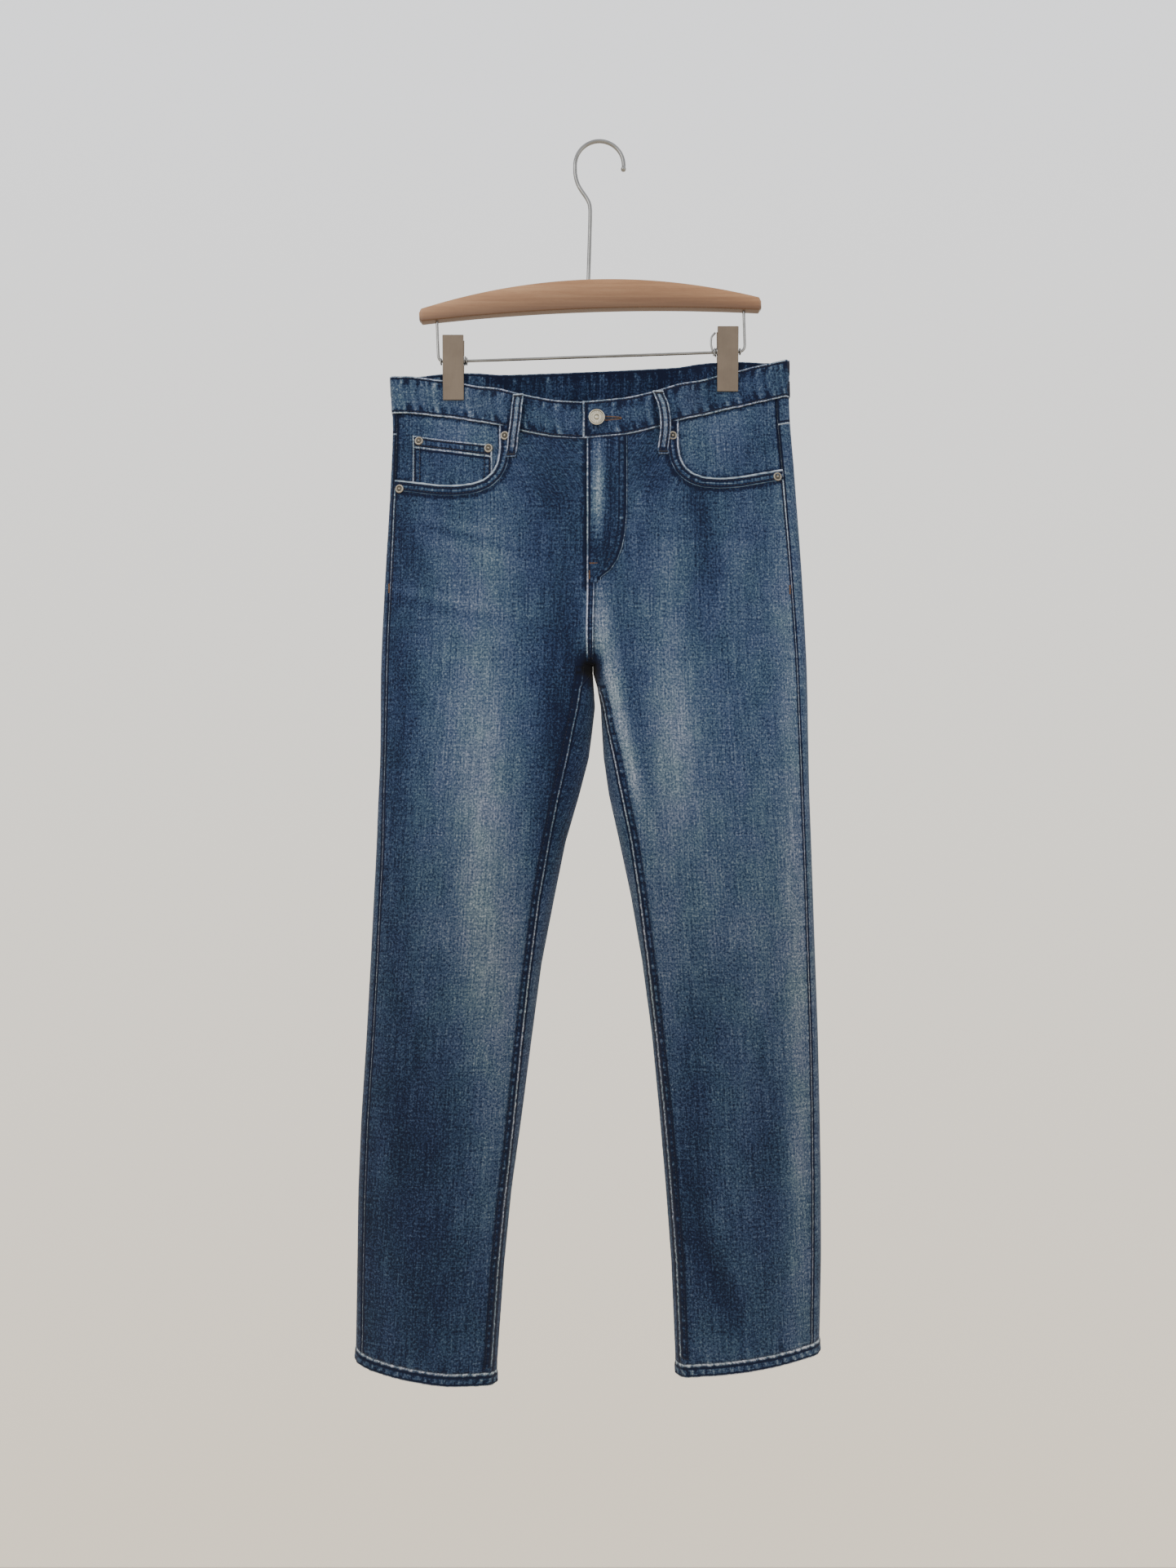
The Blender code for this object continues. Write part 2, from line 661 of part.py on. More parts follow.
def pocket_facing(side):
    """The facing that shows in the front pocket's opening, between the outseam and the pocket's inner end."""

    def outer(drop):
        return side * (soft_rows(LEGS[side], drop, 1) - soft_rows(LEGS[side], drop, 3) - 1.5)

    def inner(drop):
        return np.full_like(drop, side * FACING_INNER_X)

    xs, drops = lattice(outer, inner, lambda x: band_top(x, -1.0) + BAND_HEIGHT - FACING_TUCK,
                        lambda x: np.full_like(x, FACING_BOTTOM_DROP), 9, 6)
    name = f"pocket_facing_{SIDE_NAMES[side]}"
    return face_patch(name, xs, drops, -1.0, -FACING_DEPTH, PATCH_WALL, DENIM_CLOTH)


def coin_pocket():
    """The small pocket on the facing, cut to end just inside the opening's edge."""

    def top(x):
        return COIN_TOP_DROP + COIN_TOP_FALL * (x - COIN_LEFT_X) / (COIN_RIGHT_X - COIN_LEFT_X)

    xs, drops = lattice(lambda d: np.full_like(d, COIN_LEFT_X), lambda d: np.full_like(d, COIN_RIGHT_X),
                        top, lambda x: pocket_curve_drop(x) - COIN_EDGE_GAP, 8, 4)
    return face_patch("coin_pocket", xs, drops, -1.0, -COIN_DEPTH, COIN_WALL, DENIM_CLOTH)


def pocket_cutter(side):
    """A prism through the front that cuts the pocket's opening along its curve."""
    outline = [(side * x, drop) for x, drop in POCKET_CURVE]
    outline.append((side * 240.0, 20.0))
    curve = bpy.data.curves.new(f"pocket_cutter_{SIDE_NAMES[side]}_outline", "CURVE")
    curve.dimensions = "2D"
    curve.fill_mode = "BOTH"
    curve.extrude = 30 * MM
    spline = curve.splines.new("POLY")
    spline.points.add(len(outline) - 1)
    for point, (x, drop) in zip(spline.points, outline):
        px, _, pz = place(np.array([float(x), 0.0, -float(drop)]))
        point.co = (px, pz, 0.0, 1.0)
    spline.use_cyclic_u = True
    guide = bpy.data.objects.new(f"pocket_cutter_{SIDE_NAMES[side]}_guide", curve)
    guide.matrix_world = Matrix.Translation((0.0, -0.031, 0.0)) @ Matrix.Rotation(math.pi / 2, 4, "X")
    bpy.context.scene.collection.objects.link(guide)
    bpy.context.view_layer.update()
    graph = bpy.context.evaluated_depsgraph_get()
    mesh = bpy.data.meshes.new_from_object(guide.evaluated_get(graph))
    work = bmesh.new()
    work.from_mesh(mesh)
    bmesh.ops.remove_doubles(work, verts=work.verts, dist=1e-6)
    bmesh.ops.recalc_face_normals(work, faces=work.faces)
    work.to_mesh(mesh)
    work.free()
    cutter = bpy.data.objects.new(f"pocket_cutter_{SIDE_NAMES[side]}", mesh)
    cutter.matrix_world = guide.matrix_world
    bpy.data.objects.remove(guide)
    CUTTERS.objects.link(cutter)
    cutter.hide_render = True
    cutter.display_type = "WIRE"
    return cutter


def cut_pocket(front, side):
    cut = front.modifiers.new("Pocket opening", "BOOLEAN")
    cut.operation = "DIFFERENCE"
    cut.solver = "EXACT"
    cut.object = pocket_cutter(side)


def fly():
    """The fly's top layer on the viewer's right front, with a folded edge and a J-shaped end."""
    rows = np.array(FLY_ROWS, float)
    count = 5
    u = np.linspace(0.0, 1.0, count)
    xs = FLY_LEFT_X + (rows[:, 1:2] - FLY_LEFT_X) * u
    drops = np.repeat(rows[:, :1], count, axis=1)
    drops[0] = band_top(xs[0], -1.0) + BAND_HEIGHT + SEAM_GAP
    xs = np.where(np.abs(xs) < 0.2, 0.2, xs)
    return face_patch("fly", xs, drops, -1.0, LAY_GAP + PATCH_WALL, PATCH_WALL, DENIM_CLOTH)


def strip(name, centre, width, drops, face, material):
    """A narrow felled seam that lies along a line of the garment: centre gives x at each drop."""
    drops = np.asarray(drops, float)
    xs = centre(drops)[:, None] + np.linspace(-0.5, 0.5, 3)[None, :] * width
    xs = np.where(np.abs(xs) < 0.2, 0.2, xs)
    rows = np.repeat(drops[:, None], 3, axis=1)
    return face_patch(name, xs, rows, face, LAY_GAP + FELL_WALL, FELL_WALL, material)


def rise_fells():
    """The felled rise seams: at the front from the fly to the fork, and at the back from the yoke down."""
    front_rows = (233.5, 240, 247, 254, 260)
    back_rows = (80, 100, 120, 145, 170, 195, 222)
    strip("rise_fell_front", lambda d: np.full_like(d, RISE_FELL_X), RISE_FELL_WIDTH, front_rows, -1.0,
          DENIM_CLOTH)
    strip("rise_fell_back", np.zeros_like, BACK_FELL_WIDTH, back_rows, 1.0, DENIM_CLOTH)


def inseam_fell(side):
    """The felled inseam's ridge on the front panel, beside the seam, from below the crotch to the hem."""
    drops = np.array((372, 384, 400, 420, 445, 475, 510, 550, 600, 660, 720, 790, 860, 930, 1000, 0), float)
    drops[-1] = INSEAM_FELL_END[side]
    inset = np.interp(drops, LEGS[side][:, 0], LEGS[side][:, 4])
    inner = np.interp(drops, LEGS[side][:, 0], LEGS[side][:, 2])
    start = across_at(side, side * (inner + inset + 0.4), drops)
    end = across_at(side, side * (inner + inset + INSEAM_FELL_WIDTH), drops)
    share = np.linspace(0.0, 1.0, 3)
    across = start[:, None] + (end - start)[:, None] * share
    grid = surface_points(side, -across, np.repeat(drops[:, None], 3, axis=1),
                          np.full(across.shape, LAY_GAP + FELL_WALL))
    return sheet(f"inseam_fell_{SIDE_NAMES[side]}", place(grid), FELL_WALL, (0, -1, 0), DENIM_CLOTH)


def yoke_fell(side):
    """The ridge of the yoke seam, on the back panel just under the seam."""
    x = side * np.linspace(8.0, 196.0, 10)
    xs = np.repeat(x[:, None], 3, axis=1)
    drops = yoke_seam(xs) + 0.8 + np.linspace(0.0, 8.0, 3)[None, :]
    out = LAY_GAP + FELL_WALL
    return face_patch(f"yoke_fell_{SIDE_NAMES[side]}", xs, drops, 1.0, out, FELL_WALL, DENIM_CLOTH)


def back_pocket(side):
    """A plain five-sided patch pocket on the back."""
    top_inner, top_outer = np.array(POCKET_TOP_INNER), np.array(POCKET_TOP_OUTER)
    side_inner, side_outer = np.array(POCKET_SIDE_INNER), np.array(POCKET_SIDE_OUTER)
    point = np.array(POCKET_POINT)
    u = np.linspace(0.0, 1.0, 7)
    v = np.linspace(0.0, 1.0, 6)
    top = top_inner + (top_outer - top_inner) * u[:, None]
    low = np.where((u <= 0.5)[:, None], side_inner + (point - side_inner) * (u * 2)[:, None],
                   point + (side_outer - point) * (u * 2 - 1)[:, None])
    grid = top[None] + (low - top)[None] * v[:, None, None]
    return face_patch(f"back_pocket_{SIDE_NAMES[side]}", side * grid[..., 0], grid[..., 1], 1.0,
                      LAY_GAP + PATCH_WALL, PATCH_WALL, DENIM_CLOTH)


def on_face(x, drop, face, out):
    """A garment point and the outward direction at x and drop on one face."""
    side = -1 if x < 0 else 1
    d = np.array([float(drop)])
    across = across_at(side, np.array([float(x)]), d)
    around = -across if face < 0 else across
    base = surface_points(side, around, d, 0.0)[0]
    lifted = surface_points(side, around, d, np.array([1.0]))[0]
    normal = (lifted - base) / np.linalg.norm(lifted - base)
    return base + normal * out, normal


def belt_loop(name, face, x_top, x_low):
    """A strap over the waistband, sewn flat at both ends and standing off between them for a belt.

    steps are shares of the strap's length, and stand says how far it stands off there, as a share.
    """
    top = float(band_top(np.array(x_top or 0.2), face)) + 1.5
    overhang = LOOP_OVERHANG if face < 0 else BACK_LOOP_OVERHANG
    low = float(band_top(np.array(x_low or 0.2), face)) + BAND_HEIGHT + overhang
    seat = LAY_GAP + LOOP_WALL
    rows = []
    steps = np.array((0.0, 0.06, 0.13, 0.22, 0.36, 0.52, 0.68, 0.80, 0.88, 0.94, 1.0))
    stand = np.array((0.0, 0.0, 0.62, 1.0, 1.0, 1.0, 1.0, 0.72, 0.0, 0.0, 0.0))
    if face > 0:
        steps = np.array((0.0, 0.07, 0.16, 0.27, 0.40, 0.52, 0.64, 0.75, 0.86, 0.94, 1.0))
        stand = np.array((0.0, 0.0, 0.62, 1.0, 1.0, 1.0, 1.0, 0.80, 0.2, 0.0, 0.0))
    for step, off in zip(steps, stand):
        drop = top + (low - top) * step
        x = x_top + (x_low - x_top) * step
        band_low = float(band_top(np.array(x or 0.2), face)) + BAND_HEIGHT
        on_band = BAND_PROUD * (1.0 - float(smooth_step(np.array(drop), band_low + 0.5, band_low + 7.0)))
        row = []
        out = on_band + seat + off * LOOP_CLEARANCE
        for across in (-0.5, 0.0, 0.5):
            point, _ = on_face(x + across * LOOP_WIDTH or 0.2, drop, face, out)
            row.append(point)
        rows.append(row)
    return sheet(name, place(np.array(rows)), LOOP_WALL, (0, face, 0), DENIM_CLOTH)


def turned(name, profile, steps, location, direction, material, closed=False):
    """A turned piece from a profile of (radius, height), stood on a point along a direction."""
    mesh = bpy.data.meshes.new(name)
    points = [(r * MM, 0.0, h * MM) for r, h in profile]
    edges = [(i, i + 1) for i in range(len(points) - 1)]
    if closed:
        edges.append((len(points) - 1, 0))
    mesh.from_pydata(points, edges, [])
    obj = add_object(name, mesh, material)
    screw = obj.modifiers.new("Turn", "SCREW")
    screw.steps = steps
    screw.render_steps = steps
    screw.use_merge_vertices = True
    screw.merge_threshold = 1e-5
    obj.location = Vector(location)
    obj.rotation_mode = "QUATERNION"
    obj.rotation_quaternion = Vector(direction).to_track_quat("Z", "Y")
    return obj


def button():
    """The shank button through the lapped waistband's end."""
    point, normal = on_face(BUTTON_X, BUTTON_DROP, -1.0, BAND_PROUD + SEAM_GAP)
    r = BUTTON_RADIUS
    face = ((0.0, 4.2), (1.5, 4.2), (2.1, 4.9), (r * 0.62, 5.4), (r * 0.78, 5.4), (r * 0.86, 5.8))
    under = ((r - 0.3, 5.6), (r, 4.9), (r - 0.4, 4.2), (r * 0.6, 3.6), (3.2, 3.2), (2.9, 0.0), (0.0, 0.0))
    profile = face + under
    return turned("button", profile, 24, place(point), normal, BUTTON_FINISH)


def rivets():
    """Domed rivets at the corners of the front pockets and the coin pocket."""
    for name, x, drop, depth in RIVET_ROWS:
        point, normal = on_face(x, drop, -1.0, SEAM_GAP + depth)
        r = RIVET_RADIUS
        nipple = ((0.0, 1.7), (1.3, 1.6), (1.7, 1.0), (2.4, 1.0), (3.0, 1.5))
        profile = nipple + ((r - 0.5, 1.1), (r, 0.5), (r, 0.0), (0.0, 0.0))
        turned(name, profile, 12, place(point), normal, BUTTON_FINISH)


def hanger_point(x, y, z):
    """A point in the hanger's level frame, x from the bar's middle, turned by its tilt, in metres."""
    pivot_z = BAR_TOP_Z - BAR_HEIGHT / 2
    c, s = math.cos(HANGER_TILT), math.sin(HANGER_TILT)
    up = z - pivot_z
    return ((BAR_X + x * c - up * s) * MM, y * MM, (pivot_z + x * s + up * c) * MM)


def hanger_bar():
    """The wooden bar: a curved top, a nearly straight underside and rounded edges."""
    half_stations = (0.22, 0.40, 0.56, 0.72, 0.86, 0.975, 1.0)
    rings = []
    for t in [-s for s in half_stations[::-1]] + [0.0, *half_stations]:
        x = t * BAR_HALF_LENGTH
        end = 1.6 * float(smooth_step(np.array(abs(t)), 0.97, 1.0))
        high = BAR_TOP_Z - BAR_TOP_FALL * t * t - end
        low = BAR_TOP_Z - BAR_HEIGHT - BAR_BOTTOM_FALL * t * t + end
        half = BAR_THICKNESS / 2 - end
        r = BAR_EDGE_RADIUS
        ring = []
        for cy, cz, start in ((-half + r, high - r, 90), (-half + r, low + r, 180), (half - r, low + r, 270),
                              (half - r, high - r, 0)):
            for angle in (start, start + 45, start + 90):
                a = math.radians(angle)
                ring.append(hanger_point(x, cy + r * math.cos(a), cz + r * math.sin(a)))
        rings.append(ring)
    count = len(rings[0])
    verts = [p for ring in rings for p in ring]
    faces = []
    for i in range(len(rings) - 1):
        for j in range(count):
            k = (j + 1) % count
            faces.append((i * count + j, i * count + k, (i + 1) * count + k, (i + 1) * count + j))
    faces.append(tuple(range(count)))
    last = (len(rings) - 1) * count
    faces.append(tuple(last + j for j in range(count)))
    mesh = bpy.data.meshes.new("hanger_bar")
    mesh.from_pydata(verts, [], faces)
    work = bmesh.new()
    work.from_mesh(mesh)
    bmesh.ops.recalc_face_normals(work, faces=work.faces)
    work.to_mesh(mesh)
    work.free()
    mesh.shade_smooth()
    mesh.set_sharp_from_angle(angle=math.radians(40))
    return add_object("hanger_bar", mesh, WOOD_FINISH)


def wire_object(name, points, radius, material, resolution=2):
    """A round wire along a line of world points, in metres."""
    curve = bpy.data.curves.new(name, "CURVE")
    curve.dimensions = "3D"
    curve.bevel_depth = radius * MM
    curve.bevel_resolution = resolution
    curve.use_fill_caps = True
    spline = curve.splines.new("POLY")
    spline.points.add(len(points) - 1)
    for slot, point in zip(spline.points, points):
        slot.co = (*point, 1.0)
    curve.materials.append(material)
    obj = bpy.data.objects.new(name, curve)
    PARTS.objects.link(obj)
    return obj


def arc(cx, cz, radius, start, end, count):
    """Points of an arc in the X-Z plane, in degrees, as (x, z)."""
    angles = np.radians(np.linspace(start, end, count))
    return [(cx + radius * math.cos(a), cz + radius * math.sin(a)) for a in angles]


def hook():
    """The wire hook: a stem out of the bar, an open bend to the left, and a round loop over the peg."""
    loop_z = -(HOOK_RADIUS - HOOK_WIRE_RADIUS)
    stem_foot = hanger_point(-1.0, 0.0, BAR_TOP_Z + SEAM_GAP)
    flat = [(stem_foot[0] / MM, stem_foot[2] / MM), (-11.0, -120.0), (-10.0, -85.0), (-9.8, -72.0)]
    flat += [(-10.6, -65.5), (-13.2, -60.0), (-17.5, -54.0), (-21.6, -48.0), (-24.6, -41.0), (-26.2, -33.0)]
    flat += arc(0.0, loop_z, HOOK_RADIUS, 182, -17, 20)
    points = [(x * MM, 0.0, z * MM) for x, z in flat]
    return wire_object("hook", points, HOOK_WIRE_RADIUS, STEEL_FINISH, 3)


def hang_wire():
    """The wire that carries the clips: two drops from the bar and a straight run between them."""
    under = BAR_TOP_Z - BAR_HEIGHT - BAR_BOTTOM_FALL * (HANG_WIRE_X / BAR_HALF_LENGTH) ** 2 - SEAM_GAP
    b = HANG_WIRE_BEND
    left = [(-HANG_WIRE_X, under), (-HANG_WIRE_X, HANG_WIRE_Z + b)]
    left += arc(-HANG_WIRE_X + b, HANG_WIRE_Z + b, b, 180, 270, 5)[1:]
    flat = left + [(-x, z) for x, z in left[::-1]]
    points = [hanger_point(x, 0.0, z) for x, z in flat]
    return wire_object("hang_wire", points, HANG_WIRE_RADIUS, STEEL_FINISH)


def clip(side):
    """A spring clip: two flat jaws that close on the waistband, and a spring round the hanging wire."""
    centre = CENTRE_X + CLIP_SHIFT + side * CLIP_X
    top_z = CLIP_TOP_Z + side * CLIP_TILT_RISE
    bottom_z = top_z - CLIP_HEIGHT
    bite = PINCH_HALF_DEPTH + BAND_PROUD + SEAM_GAP
    wire_z = hanger_point(centre - BAR_X, 0.0, HANG_WIRE_Z)[2] / MM
    label = SIDE_NAMES[side]
    for face, part in ((-1, "front"), (1, "back")):
        mesh = bpy.data.meshes.new(f"clip_{part}_{label}")
        work = bmesh.new()
        bmesh.ops.create_cube(work, size=1.0)
        for vert in work.verts:
            upper = vert.co.z > 0
            near = bite + (CLIP_TOP_SPREAD if upper else 0.0)
            width = CLIP_HALF_WIDTH - (0.0 if face < 0 else 0.7)
            x = centre + (width if vert.co.x > 0 else -width)
            y = face * (near + (CLIP_WALL if vert.co.y > 0 else 0.0))
            z = top_z if upper else bottom_z
            vert.co = Vector((x, y, z)) * MM
        if face < 0:
            bmesh.ops.reverse_faces(work, faces=work.faces)
        work.to_mesh(mesh)
        work.free()
        jaw = add_object(f"clip_{part}_{label}", mesh, NICKEL_FINISH)
        bevel = jaw.modifiers.new("Edges", "BEVEL")
        bevel.width = 0.45 * MM
        bevel.segments = 1
    spread = bite + CLIP_TOP_SPREAD * (wire_z - bottom_z) / CLIP_HEIGHT
    reach = spread - SEAM_GAP
    inside = HANG_WIRE_RADIUS + SEAM_GAP
    high = SPRING_INNER_REACH if side < 0 else SPRING_OUTER_REACH
    low = high - SPRING_INNER_REACH - SPRING_OUTER_REACH
    profile = ((inside, high), (reach, high), (reach, low), (inside, low))
    along = (math.cos(HANGER_TILT), 0.0, math.sin(HANGER_TILT))
    middle = (centre * MM, 0.0, wire_z * MM)
    turned(f"clip_spring_{label}", profile, 14, middle, along, STEEL_FINISH, closed=True)


for old in list(bpy.data.objects):
    bpy.data.objects.remove(old)

PARTS = bpy.data.collections.new("Jeans on a clip hanger")
CUTTERS = bpy.data.collections.new("Cutters")
bpy.context.scene.collection.children.link(PARTS)
bpy.context.scene.collection.children.link(CUTTERS)
CUTTERS.hide_render = True

SIDE_NAMES = {-1: "left", 1: "right"}
FRONT_SHARES = np.array((0.0, 0.07, 0.16, 0.26, 0.37, 0.48, 0.59, 0.70, 0.80, 0.89, 0.955, 1.0))
BACK_FOLD_SHARE = 0.13
BACK_INNER_SHARE = 0.86
FOLD_COLUMN_DROPS = (CROTCH_DROP - 8.0, CROTCH_DROP + 50.0)
BACK_SHARES = np.array((0.0, 0.045, 0.09, 0.13, 0.18, 0.25, 0.33, 0.42, 0.51, 0.60, 0.68, 0.75, 0.81,
                        0.86, 0.93, 1.0))

DENIM_CLOTH = make_material("Denim", DENIM, 0.9)
WOOD_FINISH = make_material("Beech", WOOD, 0.5)
STEEL_FINISH = make_material("Polished steel", STEEL, 0.2, 1.0)
NICKEL_FINISH = make_material("Satin nickel", NICKEL, 0.4, 1.0)
BUTTON_FINISH = make_material("Pale metal", BUTTON_METAL, 0.35, 1.0)

for leg_side in (-1, 1):
    cut_pocket(front_panel(leg_side), leg_side)
    back_panel(leg_side)
    back_yoke(leg_side)
    hem_ring(leg_side)
    pocket_facing(leg_side)
    inseam_fell(leg_side)
    yoke_fell(leg_side)
    back_pocket(leg_side)
    clip(leg_side)
waistband()
coin_pocket()
fly()
rise_fells()
for loop_row in LOOP_ROWS:
    belt_loop(*loop_row)
button()
rivets()
hanger_bar()
hook()
hang_wire()
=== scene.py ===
"""Looks of a pair of blue five-pocket jeans that hang by the waistband from a wooden clip hanger.

The garment is worked out in millimetres: x is measured from its centre line towards the viewer's right, drop
is the distance down from the waistband's top at the side folds, and Form.world() turns both into the frame's
metres. The front faces -Y and +Z is up.
"""

import logging  # noqa: E402
import math  # noqa: E402
from collections.abc import Callable  # noqa: E402
from dataclasses import dataclass, field  # noqa: E402
from enum import Enum  # noqa: E402

import bpy  # noqa: E402
import numpy as np  # noqa: E402
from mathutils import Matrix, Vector  # noqa: E402


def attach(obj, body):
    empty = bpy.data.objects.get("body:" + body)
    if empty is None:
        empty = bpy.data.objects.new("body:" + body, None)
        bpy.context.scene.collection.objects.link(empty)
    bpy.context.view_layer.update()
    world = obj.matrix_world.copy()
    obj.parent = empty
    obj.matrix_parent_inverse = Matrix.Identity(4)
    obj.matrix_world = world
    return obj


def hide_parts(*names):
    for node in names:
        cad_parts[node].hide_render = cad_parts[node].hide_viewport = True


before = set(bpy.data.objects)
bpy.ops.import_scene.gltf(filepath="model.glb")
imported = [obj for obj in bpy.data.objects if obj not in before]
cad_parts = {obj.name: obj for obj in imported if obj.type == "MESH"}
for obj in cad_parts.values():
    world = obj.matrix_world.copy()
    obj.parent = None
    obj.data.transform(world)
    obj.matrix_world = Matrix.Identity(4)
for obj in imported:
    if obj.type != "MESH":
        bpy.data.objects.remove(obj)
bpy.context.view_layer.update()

Array = np.ndarray
Row = tuple[float, ...]
Stops = tuple[tuple[float, Row], ...]
Edge = Callable[[Array], Array]
Material = bpy.types.Material
Piece = bpy.types.Object
Socket = bpy.types.NodeSocket
LOG = logging.getLogger("jeans")

# A distance from a seam in millimetres that shows no wear, and one millimetre in metres
FAR = 99.0
MM = 0.001
TINY = 1e-9
Y_AXIS = np.array((0.0, 1.0, 0.0))
Z_AXIS = np.array((0.0, 0.0, 1.0))

# Outline of each leg, from the centre line outwards: drop, outer edge, inner edge, width of back panel that
# shows outside the outseam, width of back panel that shows inside the inseam.
LEFT_LEG = (
    (0, 213.5, -4.4, 4.5, 0.0), (60, 211.0, -4.4, 4.5, 0.0), (120, 213.5, -4.4, 5.0, 0.0),
    (220, 219.5, -4.4, 7.5, 0.0), (290, 223.0, -4.4, 8.0, 0.0), (328, 224.3, -4.4, 8.2, 0.0),
    (345, 224.3, -5.5, 8.0, 14.0), (365, 224.3, -6.7, 7.5, 18.0), (390, 224.4, -3.9, 7.2, 20.5),
    (420, 224.9, 0.0, 7.2, 22.5), (460, 226.9, 10.5, 8.2, 21.0), (510, 228.7, 25.1, 9.2, 16.5),
    (570, 231.8, 37.3, 9.5, 15.5), (640, 235.5, 50.9, 9.8, 11.0), (720, 240.0, 61.5, 9.6, 9.5),
    (800, 245.3, 71.8, 9.6, 7.5), (880, 248.7, 82.9, 9.8, 5.6), (960, 249.9, 90.8, 9.2, 5.2),
    (1062, 251.6, 98.0, 9.6, 4.8),
)
RIGHT_LEG = (
    (0, 215.0, 4.7, 14.0, 0.0), (60, 216.5, 4.7, 14.0, 0.0), (120, 221.5, 4.7, 13.5, 0.0),
    (220, 229.0, 4.7, 13.5, 0.0), (290, 233.0, 4.7, 12.8, 0.0), (328, 234.8, 4.7, 12.4, 0.0),
    (345, 235.2, 9.5, 12.2, 1.0), (365, 235.7, 12.8, 12.0, 3.0), (390, 236.1, 14.1, 11.6, 6.5),
    (420, 236.6, 16.0, 11.0, 11.0), (460, 237.4, 21.7, 10.4, 13.0), (510, 239.2, 32.8, 10.2, 12.0),
    (570, 241.3, 45.5, 10.2, 8.5), (640, 243.8, 57.4, 10.4, 5.5), (720, 246.8, 68.0, 10.8, 4.0),
    (800, 248.8, 75.6, 11.0, 4.5), (880, 250.2, 82.4, 11.6, 4.6), (960, 250.6, 88.3, 12.0, 4.6),
    (1062, 248.8, 92.6, 11.4, 4.4),
)
LEGS = (np.array(LEFT_LEG), np.array(RIGHT_LEG))
OUTER, INNER, OUTSEAM, INSEAM = 1, 2, 3, 4

# Depth of the garment: drop, front bulge, back bulge, radius of the side fold, fullness, and the y of the
# fold's plane at the outer and the inner edge
DEPTH = np.array((
    (0, 26, 15, 4.0, 1.00, 0, 0), (44, 28, 17, 4.0, 1.00, 0, 0), (84, 31, 23, 4.5, 0.95, 0, 0),
    (140, 34, 36, 6.0, 0.85, 0, 0), (220, 35, 46, 8.0, 0.75, 0, 2), (328, 36, 46, 9.0, 0.68, 0, 4),
    (420, 37, 42, 9.0, 0.62, 0, 4), (570, 37, 37, 9.0, 0.60, 0, 2), (720, 36, 34, 9.0, 0.60, 1, -2),
    (880, 34, 31, 9.0, 0.60, 2, -6), (1080, 32, 29, 9.0, 0.62, 3, -9),
), float)

# How far the waistband's front dips towards the button: distance from the centre line, dip
DIP = np.array((
    (0, 44.0), (40, 41.0), (70, 34.0), (107, 22.0), (136, 12.0), (160, 7.0), (190, 2.0), (214, 0.0),
))

# Front pocket opening: distance from the centre line, drop
POCKET_CURVE = np.array((
    (92.5, 50), (94.0, 74), (93.8, 92), (96.0, 106), (101, 116), (110, 123.3), (122, 127), (140, 128),
    (160, 126.3), (184, 121.5), (204, 117.5), (240, 112),
))

# The fly's stitched J: drop, x
J_LINE = np.array((
    (86, 38.5), (112, 38.6), (140, 38.6), (165, 38.3), (185, 36.5), (200, 33.5), (213, 28.5), (223, 21.5),
    (231, 11.0),
))

# Outline of a back patch pocket: distance from the centre line, drop
BACK_POCKET = np.array(((42.0, 146.0), (56.0, 278.0), (118.0, 298.0), (178.0, 268.0), (182.0, 130.0)))

# Folds that were placed one by one: x and drop of both ends, half width, height out of the cloth
FRONT_CREASES = (
    (-118, 330, -106, 640, 34, 2.6), (86, 300, 88, 480, 14, 2.4), (7, 270, 38, 450, 8, 1.8),
    (56, 340, 60, 470, 10, -1.8), (-28, 270, -44, 520, 17, -2.4), (-96, 150, -100, 300, 18, 1.3),
    (-40, 120, -38, 300, 18, -1.4), (120, 140, 111, 330, 11, -1.7), (153, 175, 156, 270, 14, 1.2),
    (86, 185, 86, 255, 11, 1.2), (124, 650, 120, 770, 18, -2.2), (108, 780, 113, 920, 12, -2.6),
    (113, 920, 162, 1030, 10, -2.8), (98, 880, 132, 1040, 9, 1.8), (185, 760, 188, 940, 12, -1.4),
    (-176, 700, -172, 960, 24, -2.2), (-96, 700, -98, 880, 16, 1.4), (-195, 210, -120, 226, 7, 0.7),
    (-150, 262, -38, 282, 7, -0.8), (-120, 300, -20, 306, 6, 0.7), (190, 232, 128, 246, 8, -0.7),
    (-200, 540, -120, 560, 9, -0.6), (110, 560, 215, 548, 9, -0.6), (-210, 575, -130, 588, 8, 0.6),
    (120, 596, 210, 584, 8, 0.6),
)
BACK_CREASES = (
    (-118, 360, -112, 620, 30, 2.0), (112, 350, 118, 600, 30, 2.0), (-40, 318, -150, 352, 8, -2.2),
    (36, 322, 140, 350, 8, -2.0), (-50, 345, -170, 385, 9, 1.4), (48, 348, 160, 380, 9, 1.3),
    (-30, 380, -50, 540, 15, -1.8), (44, 380, 62, 540, 15, -1.8), (-120, 560, -215, 575, 8, -1.4),
    (112, 566, 212, 556, 8, -1.4), (-110, 592, -205, 606, 9, 1.1), (118, 598, 208, 590, 9, 1.1),
    (-150, 700, -160, 930, 18, -1.6), (150, 720, 158, 940, 18, -1.6), (-190, 190, -150, 330, 16, -1.2),
    (194, 190, 152, 330, 16, -1.2),
)
